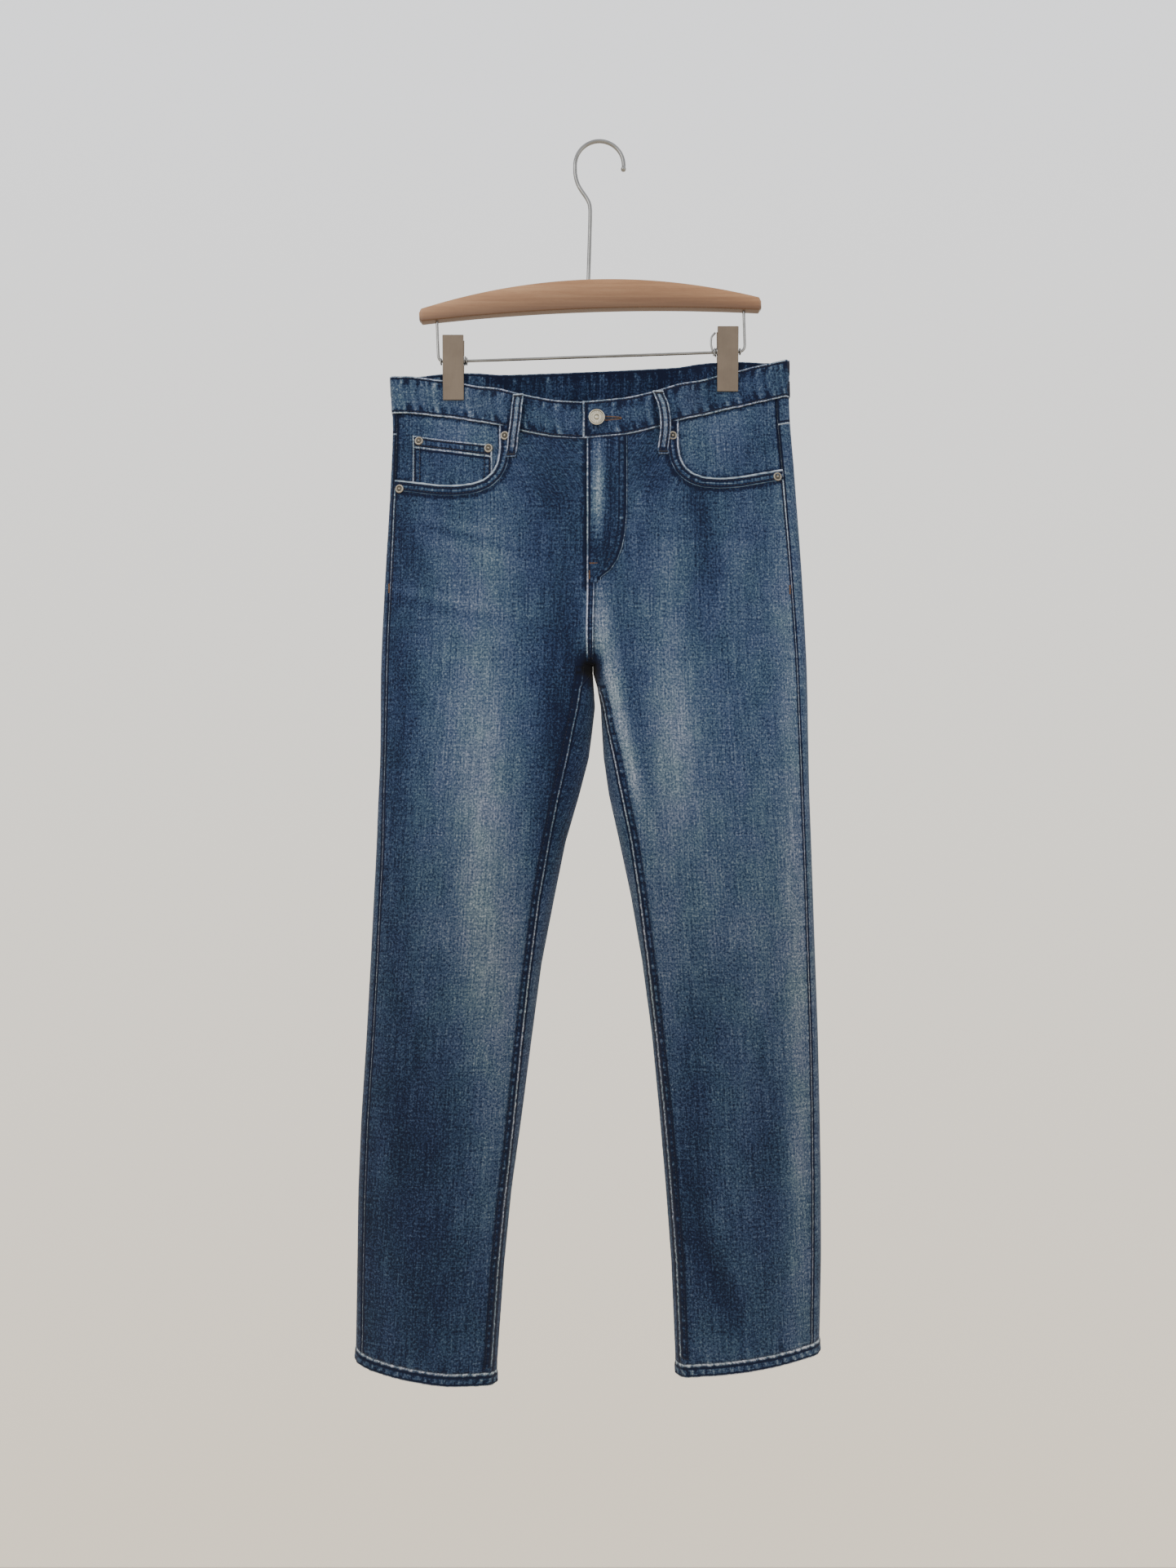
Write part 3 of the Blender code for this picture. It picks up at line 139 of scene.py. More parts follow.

# Soft fades of the wash and painted shade (the near-black patch under the fork at x 2, drop 324, and in part
# the dark inner thigh at x -28): x, drop, half width, half height, lean in degrees, amount lighter or darker
FRONT_FADES_AND_SHADE = (
    (-118, 392, 33, 103, 0, 0.40), (-107, 590, 29, 94, 0, 0.36), (-140, 500, 12, 60, 0, -0.07),
    (-93, 575, 9, 55, 0, -0.09), (-186, 505, 10, 60, 0, 0.06), (-125, 878, 14, 42, 0, 0.10),
    (-107, 900, 9, 60, 0, 0.09), (-236, 950, 9, 110, 0, -0.09), (165, 1045, 20, 20, 0, 0.10),
    (50, 148, 9, 18, 0, 0.20), (-96, 762, 19, 94, 0, 0.22), (-100, 187, 17, 60, 0, 0.16),
    (-28, 377, 19, 120, 4, -0.29), (-58, 565, 9, 103, 4, -0.05), (-202, 390, 12, 258, 0, -0.16),
    (-178, 820, 34, 112, 0, -0.12), (-169, 975, 12, 43, 0, -0.08), (-139, 237, 34, 52, 0, 0.10),
    (88, 397, 17, 85, 0, 0.33), (101, 449, 32, 146, 0, 0.15), (86, 217, 17, 40, 0, 0.15),
    (153, 219, 20, 45, 0, 0.13), (120, 175, 10, 52, 0, -0.15), (110, 286, 14, 52, 0, -0.10),
    (27, 362, 9, 74, -13, 0.32), (2, 324, 8, 9, 0, -2.0), (55, 397, 8, 52, -8, -0.16),
    (215, 401, 10, 240, 0, 0.24), (125, 699, 19, 47, 0, -0.15), (110, 845, 12, 77, 0, -0.20),
    (136, 978, 11, 54, -22, -0.24), (185, 847, 10, 86, 0, -0.12), (222, 830, 9, 215, 0, 0.22),
    (236, 850, 11, 190, 0, 0.16), (101, 500, 17, 85, 0, -0.10), (184, 470, 12, 150, 0, 0.08),
    (203, 210, 9, 90, 0, 0.13), (-130, 183, 42, 4, 19, -0.13), (-148, 168, 42, 4, 12, 0.12),
    (-125, 196, 42, 5, 18, 0.11), (-149, 249, 60, 4, 14, 0.13), (-149, 260, 60, 5, 14, -0.11),
    (-191, 189, 42, 8, 69, -0.13), (133, 224, 12, 18, 0, -0.17), (115, 160, 30, 7, 66, -0.13),
    (120, 186, 66, 4, 2, -0.07), (17, 285, 26, 6, 81, 0.20), (157, 614, 52, 129, 0, 0.05),
    (7, 271, 11, 26, 0, 0.32), (9, 142, 6, 34, 0, 0.50), (12, 198, 9, 19, 0, -0.36),
    (22, 132, 4, 40, 0, -0.20), (-40, 130, 18, 50, 0, -0.14), (60, 120, 14, 34, 0, -0.20),
)
# Those of the back: the dark level bands at drops 345 and 575 are painted shade under the creases
BACK_FADES_AND_SHADE = (
    (-112, 420, 34, 130, 0, 0.26), (112, 415, 34, 130, 0, 0.26), (-108, 640, 28, 100, 0, 0.18),
    (112, 640, 28, 100, 0, 0.18), (-115, 215, 40, 50, 0, 0.20), (115, 215, 40, 50, 0, 0.20),
    (-26, 250, 14, 90, 0, -0.14), (28, 250, 14, 90, 0, -0.14), (-95, 345, 60, 10, 8, -0.16),
    (95, 345, 60, 10, -8, -0.16), (-160, 575, 45, 9, 4, -0.12), (160, 575, 45, 9, -4, -0.12),
    (-170, 860, 40, 120, 0, -0.14), (170, 860, 40, 120, 0, -0.14),
)

# Sag of the hems below an even curve: share of the leg's width from the outside, left, right
HEM_SAG = np.array((
    (0.0, -4.0, 0.5), (0.13, 0.0, 0.0), (0.30, 2.0, 0.0), (0.47, 3.4, 0.0), (0.64, 6.0, 1.2),
    (0.81, 8.0, 4.0), (0.93, 10.5, 7.6), (1.0, 14.0, 10.0),
))

# Soft lightness down the legs, away from the fades: drop, left, right
BASE_FADE = np.array((
    (0, 0.34, 0.30), (100, 0.33, 0.33), (200, 0.36, 0.38), (330, 0.34, 0.42), (600, 0.36, 0.44),
    (690, 0.32, 0.39), (780, 0.25, 0.32), (900, 0.22, 0.30), (1000, 0.21, 0.29), (1080, 0.24, 0.30),
))


class Face(Enum):
    """Front or back of the garment, as the sign of its Y."""

    FRONT = -1.0
    BACK = 1.0


class Side(Enum):
    """The viewer's left or right, as the sign of x."""

    LEFT = -1
    RIGHT = 1

    @property
    def label(self) -> str:
        """Its word in the names of pieces."""
        return self.name.lower()

    @property
    def leg(self) -> Array:
        """The outline of its leg."""
        return LEGS[(self.value + 1) // 2]


def smooth_step(value: Array, low: float, high: float) -> Array:
    """0 below low, 1 above high, with level ends: 3t² - 2t³."""
    t = np.clip((np.asarray(value, float) - low) / (high - low), 0.0, 1.0)
    return t * t * (3.0 - 2.0 * t)


def bell(value: Array, width: float) -> Array:
    """1 at a value of 0, falling softly to nothing past about twice the width: e^-(value / width)²."""
    return np.exp(-((value / width) ** 2))


def even(count: int) -> Array:
    """Even steps from 0 to 1."""
    return np.linspace(0.0, 1.0, count)


def runs(*parts: tuple[float, float, int]) -> Array:
    """Even runs of numbers, each with its start, end and count, that share their joints."""
    spans = [np.linspace(*part) for part in parts]
    return np.concatenate([span[:-1] for span in spans[:-1]] + [spans[-1]])


def pairs(first: Array, second: Array) -> Array:
    """Two rows of numbers as a table of pairs, such as x and drop."""
    return np.stack([first, second], axis=1)


def direction(vectors: Array) -> Array:
    """Vectors made one long."""
    return vectors / np.maximum(np.linalg.norm(vectors, axis=-1, keepdims=True), TINY)


def wheels(sides: int, first: Array, second: Array) -> Array:
    """A ring of directions for each row of two directions that are square to each other."""
    angle = np.arange(sides) * 2.0 * math.pi / sides
    return np.cos(angle)[None, :, None] * first[:, None] + np.sin(angle)[None, :, None] * second[:, None]


def face_sign(around: Array) -> Array:
    """-1 where a place round the section is on the front and 1 where it is on the back."""
    return np.where((around < 0) | (around > 1), -1.0, 1.0)


def round_end(distance: Array) -> Array:
    """Height of a round end of radius 1 at a distance in from its tip: the square root of 1 - (1 - t)²."""
    inside = 1.0 - np.clip(distance, 0.0, 1.0)
    return np.sqrt(np.maximum(1.0 - inside * inside, 0.0))


def soft_rows(table: Array, drop: Array, column: int) -> Array:
    """A table's column at a drop, along straight runs whose corners are eased over 24 mm."""
    spread = (-12.0, -6.0, 0.0, 6.0, 12.0)
    return sum(np.interp(drop + s, table[:, 0], table[:, column]) for s in spread) / len(spread)


def ripple(along: Array, pitch: float, seed: float) -> Array:
    """Uneven waves between about -1 and 1: a sum of four sines whose lengths share no common measure.

    Args:
        along: Distance along a seam, in millimetres.
        pitch: Length of the main wave, in millimetres.
        seed: Shifts the waves, so that no two seams match.

    Returns:
        The waves' height at each distance.
    """
    turn = 2.0 * math.pi / pitch
    parts = ((1.0, 0.42, 0.0), (0.618, 0.30, 1.7), (1.732, 0.24, 4.1), (0.271, 0.20, 2.3))
    total = np.zeros(np.shape(along))
    for rate, size, phase in parts:
        total = total + size * np.sin(along * turn * rate + phase + seed * (2.1 + rate))
    return total


def along_line(x: Array, drop: Array, line: Array) -> tuple[Array, Array]:
    """Distance from points to a line of straight runs, and how far along it the nearest place lies.

    Args:
        x: The points' x, any shape.
        drop: The points' drop, the same shape.
        line: The line's points, as rows of x and drop.

    Returns:
        The distances and the lengths along the line, in millimetres.
    """
    start, run = line[:-1], np.diff(line, axis=0)
    length = np.maximum(np.hypot(run[:, 0], run[:, 1]), TINY)
    done = np.concatenate([[0.0], np.cumsum(length)[:-1]])
    px, pd = x[..., None] - start[:, 0], drop[..., None] - start[:, 1]
    share = np.clip((px * run[:, 0] + pd * run[:, 1]) / length**2, 0.0, 1.0)
    distance = np.hypot(px - share * run[:, 0], pd - share * run[:, 1])
    nearest = np.argmin(distance, axis=-1)[..., None]
    at = np.take_along_axis(done + share * length, nearest, axis=-1)[..., 0]
    return np.take_along_axis(distance, nearest, axis=-1)[..., 0], at


@dataclass(frozen=True)
class Seam:
    """A sewn line that draws the cloth into small puckers.

    Attributes:
        face: The face that it lies on.
        line: Its points, as rows of x and drop.
        pucker: Height of the puckers, in millimetres.
        reach: How far they run out from the line.
        pitch: Their usual spacing along it.
        seed: Makes its puckers its own.
    """

    face: Face
    line: Array
    pucker: float
    reach: float
    pitch: float
    seed: float

    def measure(self, x: Array, drop: Array, face: Array) -> Array:
        """Height of the puckers at each point, with no height on the other face."""
        distance, along = along_line(x, drop, self.line)
        fall = bell(distance, self.reach)
        return np.where(face == self.face.value, ripple(along, self.pitch, self.seed) * fall, 0.0)


@dataclass(frozen=True)
class Form:
    """The garment's outer cloth as one surface of side, place around the section and drop.

    The slice is a fold of small radius at the side, plus a bulge that follows a power of a sine. Its fullest
    point is the centre line at the top and the middle of the leg lower down. A round end closes it towards
    the inner fold and, above the crotch, also towards the fork.
    """

    centre_x: float = -11.4
    waist_z: float = -243.2
    hang_slope: float = math.tan(math.radians(1.5))
    waist_half: float = 214.0
    band_height: float = 40.0
    lift_left: float = -4.0
    lift_right: float = 2.6
    crotch_drop: float = 328.0
    crotch_x: float = 4.5
    hem_drop: float = 1062.0
    hem_dip: float = 8.0
    hem_height: float = 14.0
    front_fork: float = 44.0
    back_fork: float = 84.0
    lean_drop: float = 225.0
    crotch_round: float = 24.0
    inner_round: float = 11.0
    inner_round_drop: float = 520.0
    peak_start: float = 190.0
    peak_end: float = 470.0
    seam_half: float = 0.15
    clip_x: float = 147.4
    pinch_depth: float = 1.9
    pinch_flat: float = 14.0
    pinch_reach: float = 56.0
    pinch_full: float = 36.0
    pinch_end: float = 88.0
    yoke_centre: float = 116.0
    yoke_side: float = 66.0
    seams: tuple[Seam, ...] = ()

    def leg(self, side: Array, drop: Array, column: int) -> Array:
        """An eased column of the leg's outline on each point's side."""
        return np.where(side < 0, soft_rows(LEGS[0], drop, column), soft_rows(LEGS[1], drop, column))

    def leg_plain(self, side: Array, drop: Array, column: int) -> Array:
        """The same column along its plain straight runs."""
        left, right = (np.interp(drop, leg[:, 0], leg[:, column]) for leg in LEGS)
        return np.where(side < 0, left, right)

    def band_top(self, x: Array, face: Array) -> Array:
        """Drop of the waistband's top edge: a dip at the front, nearly straight at the back."""
        reach = np.minimum(np.abs(x), self.waist_half)
        dip = sum(np.interp(reach + s, DIP[:, 0], DIP[:, 1]) for s in (-8.0, 0.0, 8.0)) / 3.0
        lift = np.where(x > 0, self.lift_right, self.lift_left)
        start = np.where(x > 0, 190.0, 120.0)
        share = np.clip((reach - start) / (self.waist_half - start), 0.0, 1.0)
        front = dip * smooth_step(self.waist_half - reach, 0.0, 12.0) - lift * share**2 * (3.0 - 2.0 * share)
        back = -2.0 * smooth_step(self.waist_half - reach, 0.0, 60.0) - lift * reach / self.waist_half
        return np.where(face < 0, front, back)

    def band_low(self, x: Array, face: Array) -> Array:
        """Drop of the seam under the waistband."""
        return self.band_top(x, face) + self.band_height

    def yoke_seam(self, x: Array) -> Array:
        """Drop of the seam under the back yoke, a shallow V."""
        share = np.minimum(np.abs(x) / self.waist_half, 1.0)
        return self.yoke_centre + (self.yoke_side - self.yoke_centre) * share

    def hem_line(self, side: Array, x: Array) -> Array:
        """Drop of the hem, lowest towards the inseam, as the leg hangs."""
        outer, inner = (np.where(side < 0, LEGS[0][-1, c], LEGS[1][-1, c]) for c in (OUTER, INNER))
        part = np.clip((outer - side * x) / (outer - inner), 0.0, 1.0)
        sag = np.where(side < 0, *(np.interp(part, HEM_SAG[:, 0], HEM_SAG[:, c]) for c in (1, 2)))
        return self.hem_drop + self.hem_dip * smooth_step(part, -0.15, 0.75) + sag

    def column_turn(self, drop: Array) -> Array:
        """Turn of the columns' cosine spacing: a quarter at the top and half a turn from the crotch down."""
        return math.pi / 2 * (1.0 + smooth_step(drop, self.lean_drop, self.crotch_drop))

    def rise_x(self, drop: Array) -> Array:
        """x of the rise seams: the centre line, leaning to the crotch's place at the fork."""
        return self.crotch_x * smooth_step(drop, self.lean_drop, self.crotch_drop)

    def inner_edge(self, side: Array, drop: Array) -> Array:
        """Distance of a leg's inner edge from the centre line: the rise, and below the crotch the fold."""
        above = side * self.rise_x(drop) + self.seam_half
        return np.where(drop <= self.crotch_drop, above, self.leg_plain(side, drop, INNER))

    def inseam_edge(self, side: Array, drop: Array) -> Array:
        """Distance of the inseam on the front from the centre line."""
        return self.inner_edge(side, drop) + self.leg_plain(side, drop, INSEAM)

    def section(self, side: Array, across: Array, drop: Array, face: Array) -> tuple[Array, Array]:
        """x and y of the outer cloth.

        Args:
            side: -1 or 1 for the viewer's left or right leg.
            across: 0 at the side fold to 1 at the rise or the inner fold.
            drop: Distance down.
            face: -1 for the front, 1 for the back.

        Returns:
            x and y in millimetres.
        """
        outer = self.leg(side, drop, OUTER)
        width = outer - self.inner_edge(side, drop)
        front = face < 0
        bulge = np.where(front, soft_rows(DEPTH, drop, 1), soft_rows(DEPTH, drop, 2))
        fold = soft_rows(DEPTH, drop, 3)
        turn = self.column_turn(drop)
        part = (1.0 - np.cos(turn * across)) / (1.0 - np.cos(turn))
        run = part * width
        peak = math.pi / 2 * (1.0 + smooth_step(drop, self.peak_start, self.peak_end))
        body = np.power(np.maximum(np.sin(peak * part), TINY), soft_rows(DEPTH, drop, 4))
        down = smooth_step(drop, self.crotch_drop, self.inner_round_drop)
        inner_round = self.crotch_round + (self.inner_round - self.crotch_round) * down
        above = np.maximum(self.crotch_drop - drop, 0.0) / np.where(front, self.front_fork, self.back_fork)
        ends = round_end(np.hypot((width - run) / inner_round, above))
        depth = (fold * round_end(run / fold) + (bulge - fold) * body) * ends
        x = side * (outer - run)
        near_clip = 1.0 - smooth_step(np.abs(np.abs(x) - self.clip_x), self.pinch_flat, self.pinch_reach)
        pinch = near_clip * (1.0 - smooth_step(drop, self.pinch_full, self.pinch_end))
        depth = depth * (1.0 - pinch) + self.pinch_depth * pinch
        plane_out, plane_in = soft_rows(DEPTH, drop, 5), soft_rows(DEPTH, drop, 6)
        return x, plane_out + (plane_in - plane_out) * part + face * depth

    def across_at(self, side: Array, x: Array, drop: Array) -> Array:
        """The across value whose section point has this x, from the section's own formula turned round."""
        outer = self.leg(side, drop, OUTER)
        turn = self.column_turn(drop)
        part = np.clip((outer - side * x) / (outer - self.inner_edge(side, drop)), 0.0, 1.0)
        return np.arccos(1.0 - part * (1.0 - np.cos(turn))) / turn

    def points(self, side: Array, around: Array, drop: Array) -> Array:
        """Section points: around -1 to 0 is the front from rise to side fold, 0 to 1 the back, and past 1 the
        back panel comes round the inner fold on to the front."""
        face = face_sign(around)
        across = np.where(around < 0, -around, np.where(around > 1, 2.0 - around, around))
        x, y = self.section(side, across, drop, face)
        return np.stack([x, y, -drop], axis=-1)

    def normals(self, side: Array, around: Array, drop: Array) -> Array:
        """Unit normals of the bare form, from central differences that stay on their own side of the rise."""
        step, step_drop = 0.004, 1.0
        low, high = np.maximum(around - step, -1.0), around + step
        low = np.where(around > 1.0, np.maximum(low, 1.0 + 1e-6), low)
        high = np.where((around <= 1.0) & (drop <= self.crotch_drop), np.minimum(high, 1.0), high)
        over = self.points(side, high, drop) - self.points(side, low, drop)
        down = self.points(side, around, drop + step_drop) - self.points(side, around, drop - step_drop)
        normal = np.cross(over, down) * -np.asarray(side, float)[..., None]
        return direction(normal)

    def creases(self, x: Array, drop: Array, face: Array) -> Array:
        """Height of the large folds: each a bell across its line, with ends that fade along it."""
        total = np.zeros(np.shape(x))
        for table, here in ((FRONT_CREASES, face < 0), (BACK_CREASES, face > 0)):
            for x0, d0, x1, d1, width, height in table:
                length = math.hypot(x1 - x0, d1 - d0)
                dx, dd = (x1 - x0) / length, (d1 - d0) / length
                reach = (x - x0) * dx + (drop - d0) * dd
                ends = smooth_step(reach, -0.25 * length, 0.35 * length)
                ends = ends * (1.0 - smooth_step(reach, 0.65 * length, 1.25 * length))
                offset = (x - x0) * dd - (drop - d0) * dx
                total += np.where(here, height * bell(offset, width) * ends, 0.0)
        return total

    def puckers(self, x: Array, drop: Array, face: Array) -> tuple[Array, Array]:
        """Height and tone of the puckers of all seams: tone is about -1 in a hollow and 1 on a crest."""
        height, tone = np.zeros(np.shape(x)), np.zeros(np.shape(x))
        for seam in self.seams:
            wave = seam.measure(x, drop, face)
            height += seam.pucker * wave
            tone += wave
        return height, tone

    def lay(self, side: Array, around: Array, drop: Array, out: Array | float) -> tuple[Array, Array]:
        """Places points on the cloth.

        Args:
            side: -1 or 1, as an array or one value.
            around: Place round the section.
            drop: Distance down.
            out: How far out of the cloth's face, in millimetres.

        Returns:
            Points in metres and unit normals, in the frame.
        """
        around, drop = np.broadcast_arrays(np.asarray(around, float), np.asarray(drop, float))
        side = np.broadcast_to(np.asarray(side, float), around.shape)
        base, normal = self.points(side, around, drop), self.normals(side, around, drop)
        face = face_sign(around)
        flat = smooth_step(np.abs(normal[..., 1]), 0.2, 0.8)
        lift = out + flat * self.creases(base[..., 0], drop, face) + self.puckers(base[..., 0], drop, face)[0]
        return self.world(base + normal * lift[..., None]), self.turned(normal)

    def at(self, x: Array, drop: Array, face: Face, out: Array | float) -> tuple[Array, Array]:
        """Points and normals at x and drop on one face."""
        x, drop = np.broadcast_arrays(np.asarray(x, float), np.asarray(drop, float))
        side = np.where(x < self.rise_x(drop), -1.0, 1.0)
        across = self.across_at(side, x, drop)
        return self.lay(side, across * face.value, drop, out)

    def world(self, points: Array) -> Array:
        """Garment millimetres to the frame's metres, with the garment's slope on the hanger."""
        x = points[..., 0] + self.centre_x
        z = self.waist_z + points[..., 2] + points[..., 0] * self.hang_slope
        return np.stack([x, points[..., 1], z], axis=-1) * MM

    def turned(self, normal: Array) -> Array:
        """Normals of the bare form, turned with the garment's slope."""
        z = normal[..., 2] + normal[..., 0] * self.hang_slope
        return direction(np.stack([normal[..., 0], normal[..., 1], z], axis=-1))

    def tone(self, x: Array, drop: Array, face: Array) -> Array:
        """Tone of the puckers, held where lines cross."""
        return np.clip(self.puckers(x, drop, face)[1], -1.6, 1.6)

    def spot(self, x: float, drop: float, out: float) -> tuple[Array, Array]:
        """Point and normal at one place of the front."""
        point, normal = self.at(np.array([x]), np.array([drop]), Face.FRONT, out)
        return point[0], normal[0]

    def fade(self, x: Array, drop: Array, face: Array) -> Array:
        """Lightness of the washed cloth, 0 deep blue to 1 pale: each leg's base plus the soft patches, some
        of them painted shade, less a painted shadow under the waistband.
        """
        right = smooth_step(x, -25.0, 25.0)
        left_base, right_base = (np.interp(drop, BASE_FADE[:, 0], BASE_FADE[:, c]) for c in (1, 2))
        level = left_base + (right_base - left_base) * right
        for table, here in ((FRONT_FADES_AND_SHADE, face < 0), (BACK_FADES_AND_SHADE, face > 0)):
            for x0, d0, wide, high, lean, amount in table:
                c, s = math.cos(math.radians(lean)), math.sin(math.radians(lean))
                u = ((x - x0) * c + (drop - d0) * s) / wide
                v = ((drop - d0) * c - (x - x0) * s) / high
                level = level + np.where(here, amount * np.exp(-0.5 * (u * u + v * v)), 0.0)
        # Painted shadow on the cloth just under the waistband's lower edge
        under = drop - self.band_top(x, face) - self.band_height
        return level - 0.55 * bell(under, 2.0)


def sewn_lines(form: Form) -> tuple[Seam, ...]:
    """The seams and stitched edges that pucker the cloth beside them.

    Args:
        form: The form without puckers.

    Returns:
        The lines of both faces.
    """
    across = np.linspace(-form.waist_half, form.waist_half, 72)
    centre_down = np.linspace(80.0, form.crotch_drop, 24)
    found: list[Seam] = []

    def add(face: Face, x: Array, drop: Array, pucker: float, reach: float, pitch: float) -> None:
        """Adds one line, with waves of its own."""
        line = np.stack(np.broadcast_arrays(x, drop), axis=1).astype(float)
        found.append(Seam(face, line, pucker, reach, pitch, 1.37 * len(found)))

    for face in Face:
        add(face, across, form.band_low(across, face.value), 0.45, 9.0, 13.0)
    add(Face.FRONT, J_LINE[:, 1], J_LINE[:, 0], 0.34, 5.0, 8.5)
    add(Face.FRONT, np.full(12, -4.0), np.linspace(86.0, 240.0, 12), 0.35, 7.0, 11.0)
    add(Face.FRONT, 3.0 + form.rise_x(centre_down) * 0.3, centre_down, 0.25, 9.0, 7.5)
    add(Face.BACK, form.rise_x(centre_down), centre_down, 0.45, 9.0, 9.5)
    add(Face.BACK, across, form.yoke_seam(across), 0.42, 9.0, 10.5)
    for side in Side:
        sign, leg = side.value, side.leg
        below = leg[leg[:, 0] >= 340]
        add(Face.FRONT, sign * (below[:, INNER] + below[:, INSEAM] + 2.0), below[:, 0], 0.50, 8.0, 9.0)
        add(Face.FRONT, sign * (leg[:, OUTER] - leg[:, OUTSEAM]), leg[:, 0], 0.32, 7.0, 11.0)
        add(Face.FRONT, sign * POCKET_CURVE[:, 0], POCKET_CURVE[:, 1], 0.40, 12.0, 12.0)
        hem_x = sign * np.linspace(leg[-1, INNER], leg[-1, OUTER], 24)
        for face in Face:
            add(face, hem_x, form.hem_line(sign, hem_x) - form.hem_height, 0.50, 13.0, 14.0)
        add(Face.BACK, sign * BACK_POCKET[:, 0], BACK_POCKET[:, 1], 0.30, 8.0, 12.0)
    return tuple(found)


@dataclass(frozen=True)
class Grid:
    """A grid of cloth, with what its material reads at each point.

    Attributes:
        points: Points in metres, as rows, columns and 3.
        normals: The directions that the outer face looks in.
        uv: Lengths across and down the cloth, in metres.
        wash: Lightness, 0 deep blue to 1 pale: the wash's fades together with painted shade, such as that
            under the waistband, pocket edges and belt loops.
        seam: Distance from the nearest worn edge, in millimetres.
        closed: Whether the last column joins the first one.
    """

    points: Array
    normals: Array
    uv: Array
    wash: Array
    seam: Array
    closed: bool = False


Made = tuple[Piece, Grid]


def grid_uv(
    points: Array, closed: bool = False, grain: Array | None = None, allowed: Array | None = None
) -> Array:
    """Lengths across and down a grid.

    Args:
        points: The grid's points, in metres.
        closed: Whether its last column joins the first one.
        grain: x in metres of the straight grain in each row. Without it the middle column is the grain.
        allowed: Where the grain may lie.

    Returns:
        The lengths across from the grain, and down, in metres.
    """
    p = np.concatenate([points, points[:, :1]], axis=1) if closed else points
    over = np.linalg.norm(np.diff(p, axis=1), axis=-1)
    u = np.concatenate([np.zeros((p.shape[0], 1)), np.cumsum(over, axis=1)], axis=1)
    if grain is None:
        middle = p.shape[1] // 2
        u = u - u[:, middle : middle + 1]
    else:
        gap = np.where(allowed, np.abs(p[..., 0] - grain[:, None]), 9.0)
        near = np.clip(np.argmin(gap, axis=1), 1, p.shape[1] - 2)[:, None]
        x0, x1, x2 = (np.take_along_axis(p[..., 0], near + k, axis=1) for k in (-1, 0, 1))
        u0, u1, u2 = (np.take_along_axis(u, near + k, axis=1) for k in (-1, 0, 1))
        u = u - (u1 + (grain[:, None] - x1) * (u2 - u0) / (x2 - x0))
    return np.stack([u, -p[..., 2]], axis=-1)


def edge_distance(xs: Array, drops: Array, edges: str) -> Array:
    """Distance in millimetres from each point of a lattice to the nearest of its named edges.

    Args:
        xs: x of the lattice.
        drops: Drop of the lattice.
        edges: Letters of the edges that count: t for the first row, b for the last, l and r for the columns.

    Returns:
        The distances.
    """
    lines = {"t": np.s_[0, :], "b": np.s_[-1, :], "l": np.s_[:, 0], "r": np.s_[:, -1]}
    found = np.full(xs.shape, FAR)
    for letter in edges:
        line = pairs(xs[lines[letter]], drops[lines[letter]])
        found = np.minimum(found, along_line(xs, drops, line)[0])
    return found


def resampled(line: Array, count: int) -> Array:
    """A line as another number of points, which keep the spacing of its own."""
    return np.stack([np.interp(even(count), even(len(line)), line[:, c]) for c in (0, 1)], axis=1)


def lattice(left: Array, right: Array, rows: int, columns: int) -> tuple[Array, Array]:
    """x and drop of a lattice between two lines of points that are matched in order."""
    t = even(columns)[None, :, None]
    both = resampled(left, rows)[:, None] * (1.0 - t) + resampled(right, rows)[:, None] * t
    return both[..., 0], both[..., 1]


def even_line(line: Array, step: float) -> Array:
    """Points at even steps along a line of straight runs."""
    length = np.concatenate([[0.0], np.cumsum(np.hypot(*np.diff(line, axis=0).T))])
    at = np.linspace(0.0, length[-1], max(int(length[-1] / step), 1) + 1)
    return np.stack([np.interp(at, length, line[:, c]) for c in (0, 1)], axis=1)


def soft_line(line: Array, step: float = 2.0, passes: int = 6) -> Array:
    """A line with its corners rounded by repeated averaging, with both ends kept."""
    points = even_line(np.asarray(line, float), step)
    for _ in range(passes):
        points[1:-1] = 0.25 * points[:-2] + 0.5 * points[1:-1] + 0.25 * points[2:]
    return points


def beside(line: Array, offset: float) -> Array:
    """A line moved sideways by an offset, to its right as drop grows downwards."""
    run = direction(np.gradient(line, axis=0))
    return line + offset * pairs(run[:, 1], -run[:, 0])


